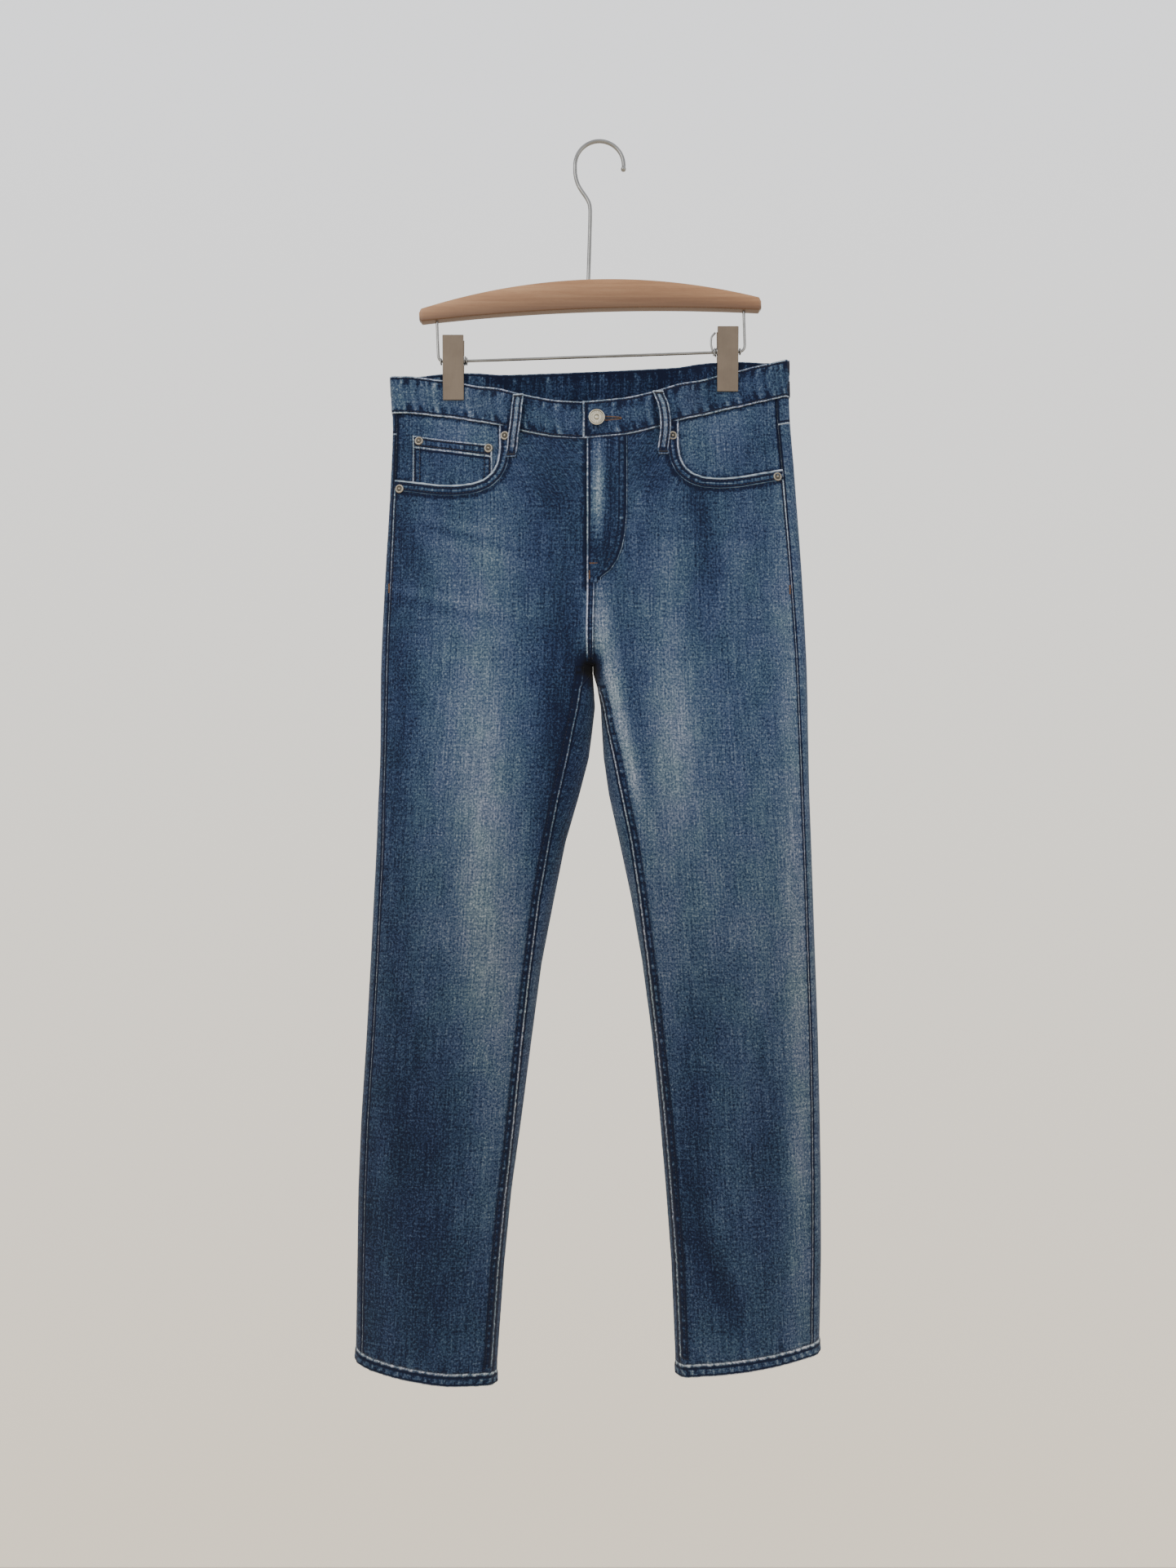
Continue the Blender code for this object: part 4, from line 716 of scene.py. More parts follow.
@dataclass
class Shader:
    """Short names for building one material's nodes."""

    name: str
    material: Material = field(init=False)
    tree: bpy.types.NodeTree = field(init=False)
    body: bpy.types.Node = field(init=False)

    def __post_init__(self) -> None:
        """Starts the material with its plain surface shader."""
        self.material = bpy.data.materials.new(self.name)
        self.material.use_nodes = True
        self.tree = self.material.node_tree
        self.body = self.tree.nodes["Principled BSDF"]

    def add(self, kind: str, **values: object) -> bpy.types.Node:
        """Adds a node and sets its options and sockets.

        Args:
            kind: The node's type, without the usual prefix.
            values: Options by name, and sockets by name with spaces as underscores. A socket of another node
                links to it.

        Returns:
            The node.
        """
        node = self.tree.nodes.new("ShaderNode" + kind)
        for key, value in values.items():
            if hasattr(node, key) and not isinstance(value, Socket):
                setattr(node, key, value)
            else:
                self.put(node, key.replace("_", " "), value)
        return node

    def put(self, node: bpy.types.Node, socket: str | int, value: object) -> None:
        """Sets a socket to a value, or links another node's socket to it."""
        target = node.inputs[int(socket)] if str(socket).isdigit() else node.inputs[socket]
        if isinstance(value, Socket):
            self.tree.links.new(value, target)
        else:
            target.default_value = value

    def dress(self, **values: object) -> Material:
        """Sets the surface's sockets, named with underscores for spaces, and returns the material."""
        for key, value in values.items():
            self.put(self.body, key.replace("_", " "), value)
        return self.material

    def bumps(self, height: object, strength: float, distance: float) -> Socket:
        """The normal of a relief."""
        return self.add("Bump", Strength=strength, Distance=distance, Height=height).outputs[0]

    def value(self, name: str) -> Socket:
        """A value that the mesh carries at each point."""
        return self.add("Attribute", attribute_name=name).outputs["Fac"]

    def place(self) -> Socket:
        """The place on the piece, in metres."""
        return self.add("TexCoord").outputs["Object"]

    def plus(self, first: object, second: object) -> Socket:
        """The sum of two values."""
        return self.math("ADD", first, second)

    def times(self, first: object, second: object) -> Socket:
        """The product of two values."""
        return self.math("MULTIPLY", first, second)

    def math(self, operation: str, first: object, second: object) -> Socket:
        """The result of a sum, product or other two-value step."""
        node = self.tree.nodes.new("ShaderNodeMath")
        node.operation = operation
        self.put(node, 0, first)
        self.put(node, 1, second)
        return node.outputs[0]

    def noise(self, vector: object, scale: Row, detail: float = 2.0, rough: float = 0.5) -> Socket:
        """Uneven value from 0 to 1 whose lumps repeat `scale` times a metre along each axis."""
        place = self.add("Mapping", Vector=vector, Scale=scale)
        node = self.add("TexNoise", Vector=place.outputs[0], Scale=1.0, Detail=detail, Roughness=rough)
        return node.outputs[0]

    def ramp(self, value: object, stops: Stops) -> Socket:
        """Colour from a value, along stops of position and colour."""
        node = self.add("ValToRGB")
        self.put(node, 0, value)
        elements = node.color_ramp.elements
        while len(elements) < len(stops):
            elements.new(0.5)
        for element, (position, colour) in zip(elements, stops):
            element.position = position
            element.color = (*colour, 1.0)
        return node.outputs[0]

    def ranged(self, value: object, low: float, high: float, start: float, end: float) -> Socket:
        """The value moved from one range to another with soft ends."""
        node = self.add("MapRange", interpolation_type="SMOOTHSTEP")
        for index, number in enumerate((value, low, high, start, end)):
            self.put(node, index, number)
        return node.outputs[0]


@dataclass(frozen=True)
class Denim:
    """Washed stretch twill: warp slubs, cross threads, twill lines and worn edges over the wash, which
    carries painted shade as well; beside worn edges lies a dark band that is partly painted shade.

    Attributes:
        name: The material's name.
        level: Added to the wash that the cloth carries.
        streak: Strength of the lengthwise slubs.
        grain: Strength of the small salt-and-pepper specks.
        wear: How pale the worn edges are.
        top: Value of the last stop.
        rub_edge: Distances from an edge at which its worn white starts to go and is gone, in millimetres.
        band_start: Distances over which the dark band beside it starts: partly painted shade of stitch
            grooves and gaps, partly darker unwashed cloth.
        band_end: Distances over which that band ends.
        band_depth: Strength of that band.
        leg_heights: Heights in metres between which the tint of the lower leg comes in.
        leg_tint: Tint of the cloth low on the legs, which is less blue.
        stops: Colours from deep blue to pale.
    """

    name: str
    level: float = -0.02
    streak: float = 0.48
    grain: float = 1.12
    wear: float = 0.80
    top: float = 1.5
    rub_edge: Row = (1.35, 2.1)
    band_start: Row = (1.8, 2.5)
    band_end: Row = (4.9, 3.7)
    band_depth: float = -0.74
    leg_heights: Row = (-0.92, -0.58)
    leg_tint: Row = (1.02, 0.95, 0.86)
    stops: Stops = (
        (0.0, (0.0030, 0.0080, 0.0310)),
        (0.25, (0.0160, 0.0385, 0.0960)),
        (0.50, (0.0440, 0.0820, 0.1540)),
        (0.75, (0.1060, 0.1560, 0.2190)),
        (1.0, (0.2100, 0.2680, 0.3400)),
        (1.5, (0.5400, 0.6100, 0.7200)),
    )

    def material(self) -> Material:
        """The material, which reads the cloth's own map and its wash and seam values."""
        s = Shader(self.name)
        uv = s.add("UVMap", uv_map="cloth").outputs[0]
        wash, seam = s.value("wash"), s.value("seam")
        slub = s.noise(uv, (560.0, 17.0, 1.0), 3.0, 0.72)
        weft = s.noise(uv, (22.0, 620.0, 1.0), 2.0, 0.6)
        speck = s.noise(uv, (480.0, 390.0, 1.0), 2.0, 0.85)
        cloud = s.noise(uv, (36.0, 22.0, 1.0), 4.0, 0.6)
        turned = s.add("Mapping", Vector=uv, Rotation=(0.0, 0.0, math.radians(28.0)))
        lines = s.add("TexWave", Vector=turned.outputs[0], Scale=350.0, Distortion=0.6, Detail=1.0)
        twill = lines.outputs["Fac"]
        total = s.plus(wash, self.level)
        parts = ((slub, self.streak), (weft, 0.22), (speck, self.grain), (cloud, 0.16), (twill, 0.03))
        for value, amount in parts:
            total = s.plus(total, s.times(s.math("SUBTRACT", value, 0.5), amount * 2.0))
        # Worn white along each edge; beside it a dark band that is partly painted shade of stitch grooves and
        # gaps and partly darker unwashed cloth
        rub = s.times(s.ranged(seam, *self.rub_edge, self.wear, 0.0), s.plus(speck, 0.5))
        past = s.ranged(seam, *self.band_start, 0.0, self.band_depth)
        shade = s.times(s.ranged(seam, *self.band_end, 0.0, 1.0), past)
        total = s.plus(s.plus(total, rub), shade)
        stops = tuple((place / self.top, colour) for place, colour in self.stops)
        colour = s.ramp(s.times(total, 1.0 / self.top), stops)
        drift = s.noise(uv, (26.0, 17.0, 1.0), 2.0, 0.5)
        tint = s.ramp(drift, ((0.36, (1.04, 0.97, 1.05)), (0.64, (0.97, 1.01, 0.985))))
        height = s.add("SeparateXYZ", Vector=s.place()).outputs["Z"]
        low = s.ranged(height, *self.leg_heights, 1.0, 0.0)
        aged = s.ramp(low, ((0.0, (1.0, 1.0, 1.0)), (1.0, self.leg_tint)))
        # Painted deep shade: the colour darkens further where the wash falls below zero, in the painted
        # shadows and at the fork
        deep_shade = s.ranged(wash, -1.2, -0.35, 0.12, 1.0)
        for second in (tint, aged, deep_shade):
            colour = s.add("MixRGB", blend_type="MULTIPLY", Fac=1.0, Color1=colour, Color2=second).outputs[0]
        relief = s.plus(s.plus(s.times(slub, 0.9), s.times(twill, 0.55)), s.times(speck, 0.8))
        return s.dress(
            Base_Color=colour, Roughness=s.plus(s.times(speck, 0.12), 0.80), Specular_IOR_Level=0.22,
            Sheen_Weight=0.10, Sheen_Roughness=0.45, Normal=s.bumps(relief, 0.55, 0.00035),
        )


@dataclass(frozen=True)
class Thread:
    """Sewing thread: a plain matt colour with a little twist along it."""

    name: str
    colour: Row

    def material(self) -> Material:
        """The thread's material."""
        s = Shader(self.name)
        grain = s.noise(s.place(), (900.0, 900.0, 900.0), 2.0, 0.6)
        dark, light = (tuple(c * k for c in self.colour) for k in (0.65, 1.35))
        colour = s.ramp(grain, ((0.3, dark), (0.7, light)))
        return s.dress(Base_Color=colour, Roughness=0.7, Sheen_Weight=0.15)


@dataclass(frozen=True)
class Metal:
    """Metal with fine scratches and soft handling marks, and painted shade where its mesh marks hollows.

    Attributes:
        name: The material's name.
        colour: Its colour.
        rough: Its middle roughness.
        brush: Scratches a metre along each axis.
        mark: How far the roughness runs either side of its middle.
        blotch: Share of the colour that the darkest marks keep.
        hollow: Share of the colour that is left where shade is painted into a hollow.
    """

    name: str
    colour: Row
    rough: float
    brush: Row = (400.0, 400.0, 400.0)
    mark: float = 0.10
    blotch: float = 0.78
    hollow: float = 0.16

    def material(self) -> Material:
        """The metal's material."""
        s = Shader(self.name)
        fine = s.noise(s.place(), self.brush, 3.0, 0.6)
        soft = s.noise(s.place(), (55.0, 55.0, 55.0), 3.0, 0.55)
        dark, light, black = (tuple(c * k for c in self.colour) for k in (self.blotch, 1.06, self.hollow))
        colour = s.ramp(soft, ((0.32, dark), (0.62, light)))
        mixed = s.add("MixRGB", Fac=s.value("hollow"), Color1=colour, Color2=(*black, 1.0))
        rough = s.plus(s.times(fine, self.mark * 2.0), self.rough - self.mark)
        relief = s.bumps(fine, 0.12, 0.0002)
        return s.dress(Base_Color=mixed.outputs[0], Metallic=1.0, Roughness=rough, Normal=relief)


@dataclass(frozen=True)
class Beech:
    """Lacquered beech: grain along the bar, short flecks, a soft gloss and painted shade where its mesh
    carries it.
    """

    name: str = "beech"

    def material(self) -> Material:
        """The wood's material."""
        s = Shader(self.name)
        grain = s.noise(s.place(), (9.0, 60.0, 240.0), 4.0, 0.62)
        bands = s.noise(s.place(), (2.2, 30.0, 62.0), 3.0, 0.5)
        fleck = s.noise(s.place(), (170.0, 900.0, 900.0), 2.0, 0.5)
        total = s.plus(s.plus(s.times(grain, 0.55), s.times(bands, 0.35)), s.times(fleck, 0.10))
        colours = ((0.28, (0.28, 0.132, 0.058)), (0.48, (0.46, 0.240, 0.116)), (0.66, (0.60, 0.345, 0.180)))
        shaded = (0.070, 0.032, 0.018, 1.0)
        wood = s.add("MixRGB", Fac=s.value("hollow"), Color1=s.ramp(total, colours), Color2=shaded)
        return s.dress(
            Base_Color=wood.outputs[0], Roughness=s.plus(s.times(grain, 0.25), 0.30), Coat_Weight=0.25,
            Coat_Roughness=0.25, Normal=s.bumps(total, 0.18, 0.0003),
        )


def finish(maker: Denim | Thread | Metal | Beech) -> Material:
    """A field whose material is made when the looks are."""
    return field(default_factory=maker.material)


@dataclass(frozen=True)
class Looks:
    """Every finish of the piece, made once."""

    denim: Material = finish(Denim("denim"))
    band: Material = finish(Denim("denim_band", streak=0.36, wear=0.76))
    reverse: Material = finish(Denim("denim_reverse", level=0.16, streak=0.22, grain=0.6, wear=0.06))
    # The band's inner face: the same denim, darker by painted shade
    inner_band: Material = finish(Denim("denim_inner_band", level=-0.28, streak=0.50, wear=0.55))
    dark_thread: Material = finish(Thread("dark_thread", (0.020, 0.020, 0.030)))
    brown_thread: Material = finish(Thread("brown_thread", (0.20, 0.095, 0.032)))
    nickel: Material = finish(
        Metal("satin_nickel", (0.27, 0.222, 0.178), 0.68, (1500.0, 600.0, 60.0), 0.06, 0.94)
    )
    steel: Material = finish(Metal("polished_steel", (0.34, 0.34, 0.335), 0.26))
    pale: Material = finish(Metal("pale_metal", (0.66, 0.62, 0.50), 0.40))
    rivet: Material = finish(Metal("rivet_metal", (0.36, 0.33, 0.28), 0.36))
    beech: Material = finish(Beech())


def paint(piece: Piece, name: str, values: Array) -> None:
    """Gives a piece one value at each point, which its finish reads by name."""
    layer = piece.data.attributes.new(name, "FLOAT", "POINT")
    layer.data.foreach_set("value", np.ascontiguousarray(values, np.float32).ravel())


def mesh_object(name: str, points: Array, faces: list[list[int]], materials: list[Material]) -> Piece:
    """An object of plain points and faces, smooth, linked to the scene and dressed."""
    mesh = bpy.data.meshes.new(name)
    mesh.from_pydata(points.reshape(-1, 3).tolist(), [], faces)
    mesh.update()
    for material in materials:
        mesh.materials.append(material)
    mesh.shade_smooth()
    piece = bpy.data.objects.new(name, mesh)
    bpy.context.scene.collection.objects.link(piece)
    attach(piece, "root")
    LOG.info("%s: %d faces", name, len(mesh.polygons))
    return piece


def cloth_object(name: str, grid: Grid, wall: float, outer: Material, inner: Material) -> Piece:
    """A sheet of cloth with a wall that grows inwards from its outer face.

    Args:
        name: The piece's name.
        grid: The outer face.
        wall: Thickness in millimetres.
        outer: Finish of the outer face.
        inner: Finish of the face that looks inwards.

    Returns:
        The piece.
    """
    rows, columns = grid.points.shape[:2]
    index = np.arange(rows * columns).reshape(rows, columns)
    if grid.closed:
        index = np.concatenate([index, index[:, :1]], axis=1)
    corner = (np.s_[:-1, :-1], np.s_[1:, :-1], np.s_[1:, 1:], np.s_[:-1, 1:])
    over = grid.points[:-1, 1:] - grid.points[:-1, :-1]
    down = grid.points[1:, :-1] - grid.points[:-1, :-1]
    facing = np.sum(np.cross(down, over) * grid.normals[:-1, :-1], axis=-1)
    if np.median(facing) < 0:
        corner = corner[::-1]
    quads = np.stack([index[c] for c in corner], axis=-1).reshape(-1, 4)
    piece = mesh_object(name, grid.points, quads.tolist(), [outer, inner])
    mesh = piece.data
    uv = np.stack([grid.uv[c] for c in corner], axis=2).reshape(-1, 2)
    mesh.uv_layers.new(name="cloth").data.foreach_set("uv", uv.astype(np.float32).ravel())
    paint(piece, "wash", grid.wash)
    paint(piece, "seam", grid.seam)
    solidify = piece.modifiers.new("Wall", "SOLIDIFY")
    solidify.thickness = wall * MM
    solidify.offset = -1.0
    solidify.material_offset = 1
    return piece


@dataclass
class Threads:
    """Stitches of one region, gathered and made as one piece of small rounded bars.

    Attributes:
        name: The piece's name.
        form: The cloth's form.
        finish: The thread's finish.
        pitch: Length from one stitch of a row to the next, in millimetres.
        fill: Share of the pitch that the thread shows over.
        size: Thickness of a row's thread.
        tack_pitch: Length from one stitch of a tack to the next.
        tack_size: Thickness of a tack's thread.
        ends: Starts, ends, normals and thickness of the stitches so far.
    """

    name: str
    form: Form
    finish: Material
    pitch: float = 3.5
    fill: float = 0.74
    size: float = 0.75
    tack_pitch: float = 0.9
    tack_size: float = 0.85
    ends: list[tuple[Array, Array, Array, float]] = field(default_factory=list)

    def between(self, start: Array, end: Array, normal: Array, size: float) -> None:
        """Adds stitches between matched points in metres."""
        self.ends.append((start, end, normal, size))

    def lay(self, start: Array, end: Array, face: Face, out: float, size: float) -> None:
        """Adds stitches between matched places of x and drop on one face, at a height over the form."""
        first, normal = self.form.at(start[:, 0], start[:, 1], face, out)
        self.between(first, self.form.at(end[:, 0], end[:, 1], face, out)[0], normal, size)

    def row(self, line: Array, face: Face, out: float) -> None:
        """Adds a row of stitches along a line of x and drop on one face, at a height over the form."""
        at = even_line(line, self.pitch)
        self.lay(at[:-1], at[:-1] + (at[1:] - at[:-1]) * self.fill, face, out, self.size)

    def tack(self, x: float, drop: float, out: float, wide: float, high: float, lean: float) -> None:
        """Adds a bar tack on the front: a short dense row of crossing stitches.

        Args:
            x: Its middle.
            drop: Its middle.
            out: Height of the cloth there over the form.
            wide: Its length.
            high: Its height.
            lean: Turn of its length from level, in degrees.
        """
        count = max(int(wide / self.tack_pitch), 3)
        along = (np.arange(count) / (count - 1) - 0.5) * wide
        zig = np.where(np.arange(count) % 2 == 0, 0.35, -0.35)
        c, s = math.cos(math.radians(lean)), math.sin(math.radians(lean))
        a = pairs(x + (along - zig) * c + high / 2 * s, drop + (along - zig) * s - high / 2 * c)
        b = pairs(x + (along + zig) * c - high / 2 * s, drop + (along + zig) * s + high / 2 * c)
        self.lay(a, b, Face.FRONT, out, self.tack_size)

    def make(self) -> Piece:
        """The piece: for each stitch three rings of five points between two tips."""
        starts, tips, normals = (np.concatenate([row[i] for row in self.ends]) for i in (0, 1, 2))
        sizes = np.concatenate([np.full(len(row[0]), row[3]) for row in self.ends])[:, None] * MM / 2
        run = tips - starts
        length = np.maximum(np.linalg.norm(run, axis=1, keepdims=True), TINY)
        run = run / length
        side = direction(np.cross(run, normals))
        up = np.cross(side, run)
        middle = (starts + tips) / 2
        wheel = wheels(5, up, side)
        parts = []
        for place, scale, sink in ((-0.34, 0.80, 0.25), (0.0, 1.0, 0.0), (0.34, 0.80, 0.25)):
            centre = middle + run * length * place - up * sizes * sink
            parts.append(centre[:, None] + wheel * (sizes * scale)[..., None])
        for place in (-0.5, 0.5):
            parts.append((middle + run * length * place - up * sizes * 0.9)[:, None])
        points = np.concatenate(parts, axis=1)
        k = np.arange(5)
        n = (k + 1) % 5
        quads = np.concatenate([np.stack([k + o, n + o, n + o + 5, k + o + 5], axis=1) for o in (0, 5)])
        caps = (np.full(5, 15), n, k), (np.full(5, 16), k + 10, n + 10)
        fans = np.concatenate([np.stack(cap, axis=1) for cap in caps])
        offset = np.arange(len(starts))[:, None, None] * points.shape[1]
        faces = (quads[None] + offset).reshape(-1, 4).tolist() + (fans[None] + offset).reshape(-1, 3).tolist()
        return mesh_object(self.name, points, faces, [self.finish])


@dataclass
class Panel:
    """A large panel of a leg, from its shaped top down to the hem's seam.

    Attributes:
        form: The cloth's form.
        looks: The finishes.
        side: Which leg.
        wall: Cloth thickness, in millimetres.
        step: Distance between rows, in millimetres.
        level_start: Drop from which rows are level.
        level_end: Drop down to which they are.
        outseam_gap: Half the room at the outseam, in millimetres.
        inseam_gap: Share of the section left free before the inseam.
        rise_gap: The same before the rise.
        grain_x: Distance of the straight grain from the centre line at the top, in millimetres.
        grain_spread: How much farther out it lies at the foot.
        pucker_tone: Strength of the puckers' light and dark.
    """

    form: Form
    looks: Looks
    side: Side
    wall: float = 1.2
    step: float = 3.1
    level_start: float = 150.0
    level_end: float = 1000.0
    outseam_gap: float = 0.05
    inseam_gap: float = 0.0006
    rise_gap: float = 0.0004
    grain_x: float = 115.0
    grain_spread: float = 57.0
    pucker_tone: float = 0.22

    def shares(self) -> Array:
        """Shares of the panel's width at which its columns run."""
        raise NotImplementedError

    def x_of(self, drop: Array) -> Array:
        """x of each column at its drop."""
        raise NotImplementedError

    def hem_top(self, x: Array) -> Array:
        """Drop of the panel's lower edge, just over the hem."""
        return self.form.hem_line(self.side.value, x) - self.form.hem_height - 0.1

    def outset(self, offset: Array, drop: Array) -> Array:
        """across of the point a distance in from the side fold's outline."""
        sign, outer = self.side.value, self.form.leg(self.side.value, drop, OUTER)
        return self.form.across_at(sign, sign * (outer - offset), drop)

    def inseam(self, drop: Array) -> Array:
        """across of the inseam on the front, below the crotch."""
        sign = self.side.value
        return self.form.across_at(sign, sign * self.form.inseam_edge(sign, drop), drop)

    def settle(self, edge: Edge, guess: float) -> Array:
        """Repeats drop = edge(x) and x = x_of(drop) until they agree, for a shaped end of the panel."""
        drop = np.full(len(self.shares()), guess)
        for _ in range(8):
            drop = edge(self.x_of(drop))
        return drop

    def rows(self, top: Array) -> Array:
        """Drops of all rows: eased below the shaped top, level in the middle and eased into the hem."""
        base, low, bottom = self.level_start, self.level_end, self.settle(self.hem_top, 1050.0)
        upper = even(int((base - top.min()) / self.step) + 2)[:, None]
        level = np.arange(base + self.step, low, self.step)[:, None] + np.zeros(len(top))
        last = even(int((bottom.max() - low) / self.step) + 2)[:, None]
        return np.concatenate([top + (base - top) * upper, level, low + (bottom - low) * last])

    def dress(self, name: str, around: Array, drop: Array, seam: Array, nodes: tuple[str, ...],
              shade: Array | float = 0.0) -> Made:
        """Makes the panel's piece and returns it with its grid."""
        form, sign = self.form, self.side.value
        points, normals = form.lay(sign, around, drop, 0.0)
        x, face = form.points(sign, around, drop)[..., 0], face_sign(around)
        wash = form.fade(x, drop, face) + self.pucker_tone * form.tone(x, drop, face)
        down = drop.mean(axis=1)
        reach = self.grain_x + self.grain_spread * smooth_step(down, 150.0, 1250.0)
        grain = (sign * reach + form.centre_x) * MM
        uv = grid_uv(points, grain=grain, allowed=np.abs(np.abs(around) - 0.5) < 0.49)
        grid = Grid(points, normals, uv, wash + shade, seam)
        piece = cloth_object(name, grid, self.wall, self.looks.denim, self.looks.reverse)
        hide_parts(*nodes)
        return piece, grid


@dataclass
class FrontPanel(Panel):
    """A front, with its top edge cut to the pocket's opening."""

    def shares(self) -> Array:
        """Columns from the outseam to the rise, packed where the pocket's opening is steep."""
        return runs((0.0, 0.655, 38), (0.655, 0.715, 16), (0.715, 1.0, 22))

    def across(self, drop: Array) -> Array:
        """across of each column at its drop."""
        start = self.outset(self.form.leg(self.side.value, drop, OUTSEAM) + self.outseam_gap, drop)
        inseam = self.inseam(drop) - self.inseam_gap
        end = np.where(drop > self.form.crotch_drop, inseam, 1.0 - self.rise_gap)
        return start + (end - start) * self.shares()

    def x_of(self, drop: Array) -> Array:
        """x of each column at its drop."""
        return self.form.section(self.side.value, self.across(drop), drop, Face.FRONT.value)[0]

    def top(self, x: Array) -> Array:
        """Drop of the top edge: under the waistband, and along the pocket's opening."""
        band = self.form.band_low(x, -1.0) + 0.15
        curve = np.interp(np.abs(x), POCKET_CURVE[:, 0], POCKET_CURVE[:, 1])
        return np.where(np.abs(x) < POCKET_CURVE[0, 0], band, np.maximum(band, curve))

    def make(self) -> Made:
        """Makes the panel."""
        drop = self.rows(self.settle(self.top, 60.0))
        x = self.x_of(drop)
        seam = np.minimum(np.abs(x - x[:, :1]) * 1.3 + 1.2 * smooth_step(drop, 130.0, 260.0), FAR)
        distance = along_line(np.abs(x), drop, POCKET_CURVE)[0]
        # Painted shadow on the panel just outside the pocket's folded edge
        shade = -0.45 * bell(distance - 12.6, 1.9) * (drop < 145.0)
        if self.side is Side.LEFT:
            # Painted shadow of the gap beside the fly's folded edge
            shade = shade - 0.6 * smooth_step(x, -7.0, -3.4) * (drop < 244.0)
        else:
            bright = smooth_step(drop, 296.0, 330.0) * (1.0 - smooth_step(drop, 430.0, 520.0))
            shade = shade + 0.28 * bright * bell(np.abs(x - x[:, -1:]) - 16.0, 6.0)
        name = f"front_{self.side.label}"
        return self.dress(name + "_cloth", -self.across(drop), drop, seam, (name,), shade)


@dataclass
class BackPanel(Panel):
    """A back: over the side fold, across the back and round the inner fold to the inseam.

    Attributes:
        fold_share: Share of the columns that lie outside the side fold.
        inner_share: Share of the columns at which the inner fold lies, below the crotch.
    """

    fold_share: float = 0.13
    inner_share: float = 0.86

    def shares(self) -> Array:
        """Columns from the outseam to the rise or the inseam, packed over both folds."""
        return runs((0.0, self.fold_share, 10), (self.fold_share, 0.74, 44), (0.74, 1.0, 30))

    def around(self, drop: Array) -> Array:
        """around of each column at its drop."""
        share = self.shares()
        start = -self.outset(self.form.leg(self.side.value, drop, OUTSEAM) - self.outseam_gap, drop)
        inseam = 2.0 - self.inseam(drop) - self.inseam_gap
        end = np.where(drop > self.form.crotch_drop, inseam, 1.0 - self.rise_gap)
        even = end * (share - self.fold_share) / (1.0 - self.fold_share)
        to_fold = (share - self.fold_share) / (self.inner_share - self.fold_share)
        past_fold = 1.0 + (end - 1.0) * (share - self.inner_share) / (1.0 - self.inner_share)
        folded = np.where(share <= self.inner_share, to_fold, past_fold)
        below = smooth_step(drop, self.form.crotch_drop - 8.0, self.form.crotch_drop + 50.0)
        body = np.where(drop > self.form.crotch_drop, even + (folded - even) * below, even)
        return np.where(share < self.fold_share, start * (1.0 - share / self.fold_share), body)

    def x_of(self, drop: Array) -> Array:
        """x of each column at its drop."""
        return self.form.points(self.side.value, self.around(drop), drop)[..., 0]

    def make(self) -> Made:
        """Makes the panel."""
        drop = self.rows(self.settle(lambda x: self.form.yoke_seam(x) + 0.1, 90.0))
        around, x = self.around(drop), self.x_of(drop)
        inner = np.where((drop > self.form.crotch_drop) & (around > 1.0), np.abs(x - x[:, -1:]), FAR)
        # The offset leaves these edges without worn white and lays the dark band, partly painted shade, right
        # along them
        seam = np.minimum(inner, np.where(around < 0, np.abs(x - x[:, :1]), FAR)) + 2.5
        name = self.side.label
        return self.dress(f"back_{name}_cloth", around, drop, seam, (f"back_{name}", f"back_leg_{name}"))

    def make_yoke(self) -> Made:
        """Makes the yoke above the panel."""
        form, face = self.form, np.where(self.shares() < self.fold_share, -1.0, 1.0)
        top = self.settle(lambda x: form.band_low(x, face) + 0.15, 40.0)
        bottom = self.settle(lambda x: form.yoke_seam(x) - 0.1, 90.0)
        drop = top + (bottom - top) * even(26)[:, None]
        around, x = self.around(drop), self.x_of(drop)
        # The offset leaves the side edge without worn white and lays the dark band, partly painted shade,
        # right along it
        side_edge = np.where(around < 0, np.abs(x - x[:, :1]) + 2.5, FAR)
        seam = np.minimum(np.abs(bottom - drop) + 0.2, side_edge)
        name = f"yoke_{self.side.label}"
        return self.dress(name + "_cloth", around, drop, seam, (name,))


